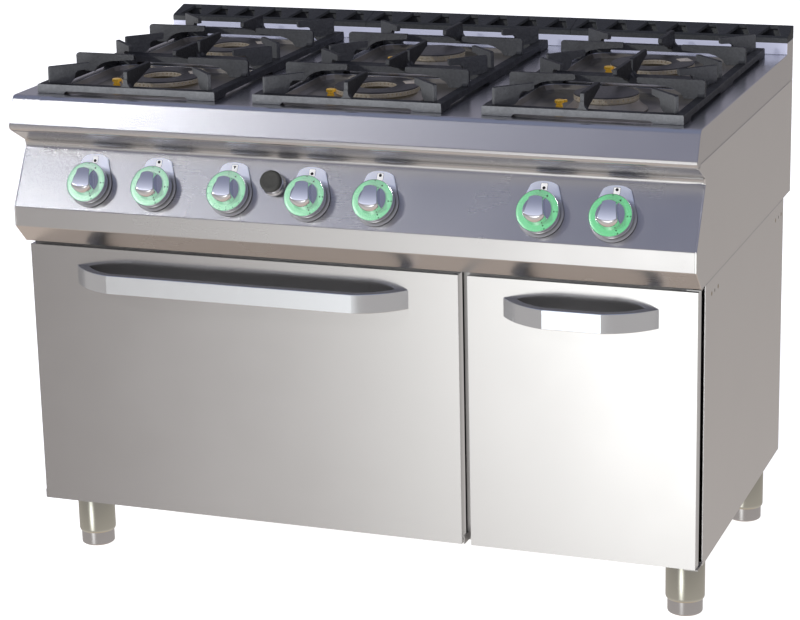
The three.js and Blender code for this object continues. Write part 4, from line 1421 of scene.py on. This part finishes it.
def toothed(bm, outer, inner, depth, count, z0, z1, slots_inside=False):
    """ring whose outer (or inner) wall carries slots"""
    stations = []
    pitch = 2 * math.pi / count
    for i in range(count):
        for share, cut in (
            (0.0, 0), (1 - PORT_SHARE - 0.001, 0), (1 - PORT_SHARE, 1), (0.999, 1)
        ):
            stations.append((2 * math.pi * i / count + pitch * share, cut))
    low_out, high_out, low_in, high_in = [], [], [], []
    for angle, cut in stations:
        r_out = outer - (0 if slots_inside else depth * cut)
        r_in = inner + (depth * cut if slots_inside else 0)
        c, s = math.cos(angle), math.sin(angle)
        for loop, r, z in (
            (low_out, r_out, z0), (high_out, r_out, z1), (low_in, r_in, z0), (high_in, r_in, z1)
        ):
            loop.append(bm.verts.new((r * c, r * s, z)))
    walls = ((low_out, high_out), (high_in, low_in), (high_out, high_in), (low_in, low_out))
    for i in range(len(stations)):
        j = (i + 1) % len(stations)
        for a, b in walls:
            bm.faces.new((a[i], a[j], b[j], b[i]))


def pot_shape(flange, shoulder):
    """cast pot with a flange and, towards the front, an inlet tube with a flared mouth"""
    rim = [(flange - 0.6, 844.62), (flange, 845.2), (flange - 0.1, 846.4), (flange - 1.2, 847.3)]
    bm = lathe(bmesh.new(), POT_FOOT + rim + shoulder + POT_BORE, 72)
    tube(bm, [(0, -40, INLET_Z), (0, INLET_END_Y, INLET_Z)], 12, 24)
    mouth = lathe(bmesh.new(), INLET_MOUTH, 32, closed=True)
    tip = Matrix.Rotation(math.radians(90), 4, "X")
    mouth.transform(Matrix.Translation((0, INLET_END_Y, INLET_Z)) @ tip)
    merge_into(bm, mouth)
    return bm


def ring_band_shape():
    bm = lathe(bmesh.new(), RING_BAND_LOW, 96, closed=True)
    toothed(bm, 72.8, 52.0, 3.4, 60, 860.6, 863.6)
    toothed(bm, 52.0, 32.6, 3.0, 28, 860.6, 863.6, slots_inside=True)
    return lathe(bm, RING_BAND_HIGH, 96, closed=True)


def solid_band_shape():
    bm = lathe(bmesh.new(), SOLID_BAND_LOW, 96)
    toothed(bm, 53.4, 30.0, 3.0, 34, 865.6, 868.4)
    return lathe(bm, SOLID_BAND_HIGH, 96)


def flash_boss_shape():
    """bright wedge let into the cap"""
    bm = bmesh.new()
    outline = round_path([(47, -11.5), (69, -14.5), (69, 14.5), (47, 11.5)], 1.5, 3)
    prism(bm, outline, 862.8, 868.5, 1.0, 2, spin(33.0))
    return bm


def pilot_shape():
    bm = lathe(bmesh.new(), NOZZLE_BASE, 6)
    lathe(bm, NOZZLE_HEAD, 24)
    spout = round_path([(2, -4.0), (13.0, -3.0), (13.0, 3.0), (2, 4.0)], 0.8, 3)
    prism(bm, spout, 861.6, 865.4, 0.4, 2)
    return bm


def add_burner(name):
    """pot, dark enamelled cap over a bright ported band, and a brass pilot beside them"""
    x, y = centre_mm("burner_crown_" + name)
    at = upright_at(x, y)
    if name in SOLID_BURNERS:
        pot = pot_shape(SOLID_FLANGE, SOLID_SHOULDER)
        cap = lathe(bmesh.new(), SOLID_CAP, 96)
        band = solid_band_shape()
    else:
        pot = pot_shape(RING_FLANGE, RING_SHOULDER)
        cap = lathe(bmesh.new(), RING_CAP, 96, closed=True)
        band = ring_band_shape()
    add_piece("burner_pot_" + name, pot, "cast_alloy", "range_body", at,
              replaces="burner_body_" + name)
    add_piece("burner_cap_" + name, cap, "crown_enamel", "range_body", at,
              replaces="burner_crown_" + name)
    add_piece("burner_port_ring_" + name, band, "crown_band", "range_body", at)
    if name not in SOLID_BURNERS:
        add_piece("burner_flash_boss_" + name, flash_boss_shape(), "crown_band", "range_body",
                  at)
    add_piece("pilot_nozzle_" + name, pilot_shape(), "brass", "range_body",
              upright_at(x - 66.5, y - 46.0) @ spin(32))


for name in BURNERS:
    add_burner(name)

# ---------------------------------------------------------------- door handles and seal

BOW_OUT = 54.0  # how far the bar stands off the door
BOW_BAND = 14.5  # bar thickness
BOW_RUN = 81.0  # length of each bent end along x
BOW_STEPS = 18
BOW_HALF_ARC = math.radians(21.0)
BOW_EDGE = 0.7  # chamfer
BOW_END_Y = -0.02  # just off the door face


def arc(start, end):
    start, end = Vector(start), Vector(end)
    chord = end - start
    radius = chord.length / 2 / math.sin(BOW_HALF_ARC)
    normal = Vector((-chord.y, chord.x)).normalized()
    centre = (start + end) / 2 - normal * radius * math.cos(BOW_HALF_ARC)
    points = []
    for i in range(BOW_STEPS + 1):
        t = -BOW_HALF_ARC + 2 * BOW_HALF_ARC * i / BOW_STEPS
        spoke = normal * math.cos(t) + chord.normalized() * math.sin(t)
        points.append(tuple(centre + spoke * radius))
    return points


def bow_shape(x0, x1, z0, z1):
    """flat bar whose two ends bend back to the door in arcs that start with a slight crease"""

    def both_ends(start, end):
        path = arc(start, end)[::-1]
        return path + [(x1 - (x - x0), y) for x, y in reversed(path)]

    def shift(path, towards):
        shifted = []
        for (ax, ay), (bx, by) in zip(path, towards):
            step = Vector((bx - ax, by - ay)).normalized() * BOW_EDGE
            shifted.append((ax + step.x, min(ay + step.y, BOW_END_Y)))
        return shifted

    outer = both_ends((x0 + BOW_RUN, -BOW_OUT), (x0, BOW_END_Y))
    inner = both_ends((x0 + BOW_RUN + 2, -BOW_OUT + BOW_BAND), (x0 + 22.5, BOW_END_Y))
    inner_edge, outer_edge = shift(inner, outer), shift(outer, inner)
    section = (
        (inner, z0 + BOW_EDGE), (inner_edge, z0), (outer_edge, z0), (outer, z0 + BOW_EDGE),
        (outer, z1 - BOW_EDGE), (outer_edge, z1), (inner_edge, z1), (inner, z1 - BOW_EDGE),
    )
    bm = bmesh.new()
    loops = [[bm.verts.new((x, y, z)) for x, y in path] for path, z in section]
    for k, (a, b) in enumerate(ring_pairs(loops, closed=True)):
        for i in range(len(a) - 1):
            face = bm.faces.new((a[i], b[i], b[i + 1], a[i + 1]))
            # the last pair is the face towards the door, in the second material, near-black for
            # painted shade
            face.material_index = 1 if k == len(loops) - 1 else 0
    bm.faces.new([loop[0] for loop in loops])
    bm.faces.new([loop[-1] for loop in reversed(loops)])
    return bm


for door, piece_name in (
    ("oven_door", "oven_handle_bow"), ("cupboard_door", "cupboard_handle_bow")
):
    node = door + "_handle"
    lo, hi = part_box(node)
    bow = bow_shape(lo.x * 1000, hi.x * 1000, lo.z * 1000, hi.z * 1000)
    handle = add_piece(piece_name, bow, "handle_satin", door, angle=9.0)
    handle.data.materials.append(MATERIALS["bow_inner_shade"])
    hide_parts(node)

# oven door seal: a round cord round the mouth, as (x, z) corners
SEAL_CORNERS = [(-552, 183), (152, 183), (152, 547), (-552, 547)]
SEAL_Y = 26.0
seal = bmesh.new()
seal_path = [(x, SEAL_Y, z) for x, z in round_path(SEAL_CORNERS, 24, 8)]
tube(seal, seal_path, 2.9, 14, closed=True)
add_piece("oven_door_seal", seal, "silicone_seal", "oven_door")

# ---------------------------------------------------------------- feet

FOOT_TUBE = [  # radius, z
    (30.5, 25.4), (31.2, 25.2), (31.8, 25.4), (32.6, 26.6), (33.1, 28.6), (33.2, 31.0),
    (33.2, 116.0), (32.8, 116.8), (11.0, 116.8), (10.5, 116.4), (10.5, 78.6), (11.0, 78.0),
    (30.2, 78.0), (30.5, 77.4),
]
FOOT_COLLAR = [
    (0, 0), (27.6, 0), (28.2, 0.15), (29.2, 0.9), (29.8, 2.0), (29.9, 3.0), (29.9, 55.2),
    (29.2, 56), (10.4, 56), (10, 56.6), (10, 97.4), (9.4, 98), (0, 98),
]

for name in FEET:
    at = upright_at(*centre_mm("foot_sleeve_" + name))
    add_piece("foot_tube_" + name, lathe(bmesh.new(), FOOT_TUBE, 72, closed=True),
              "foot_tube", "range_body", at, replaces="foot_sleeve_" + name)
    add_piece("foot_collar_" + name, lathe(bmesh.new(), FOOT_COLLAR, 72), "foot_collar",
              "foot_" + name, at, replaces="foot_adjuster_" + name)

# ---------------------------------------------------------------- final update

bpy.context.view_layer.update()
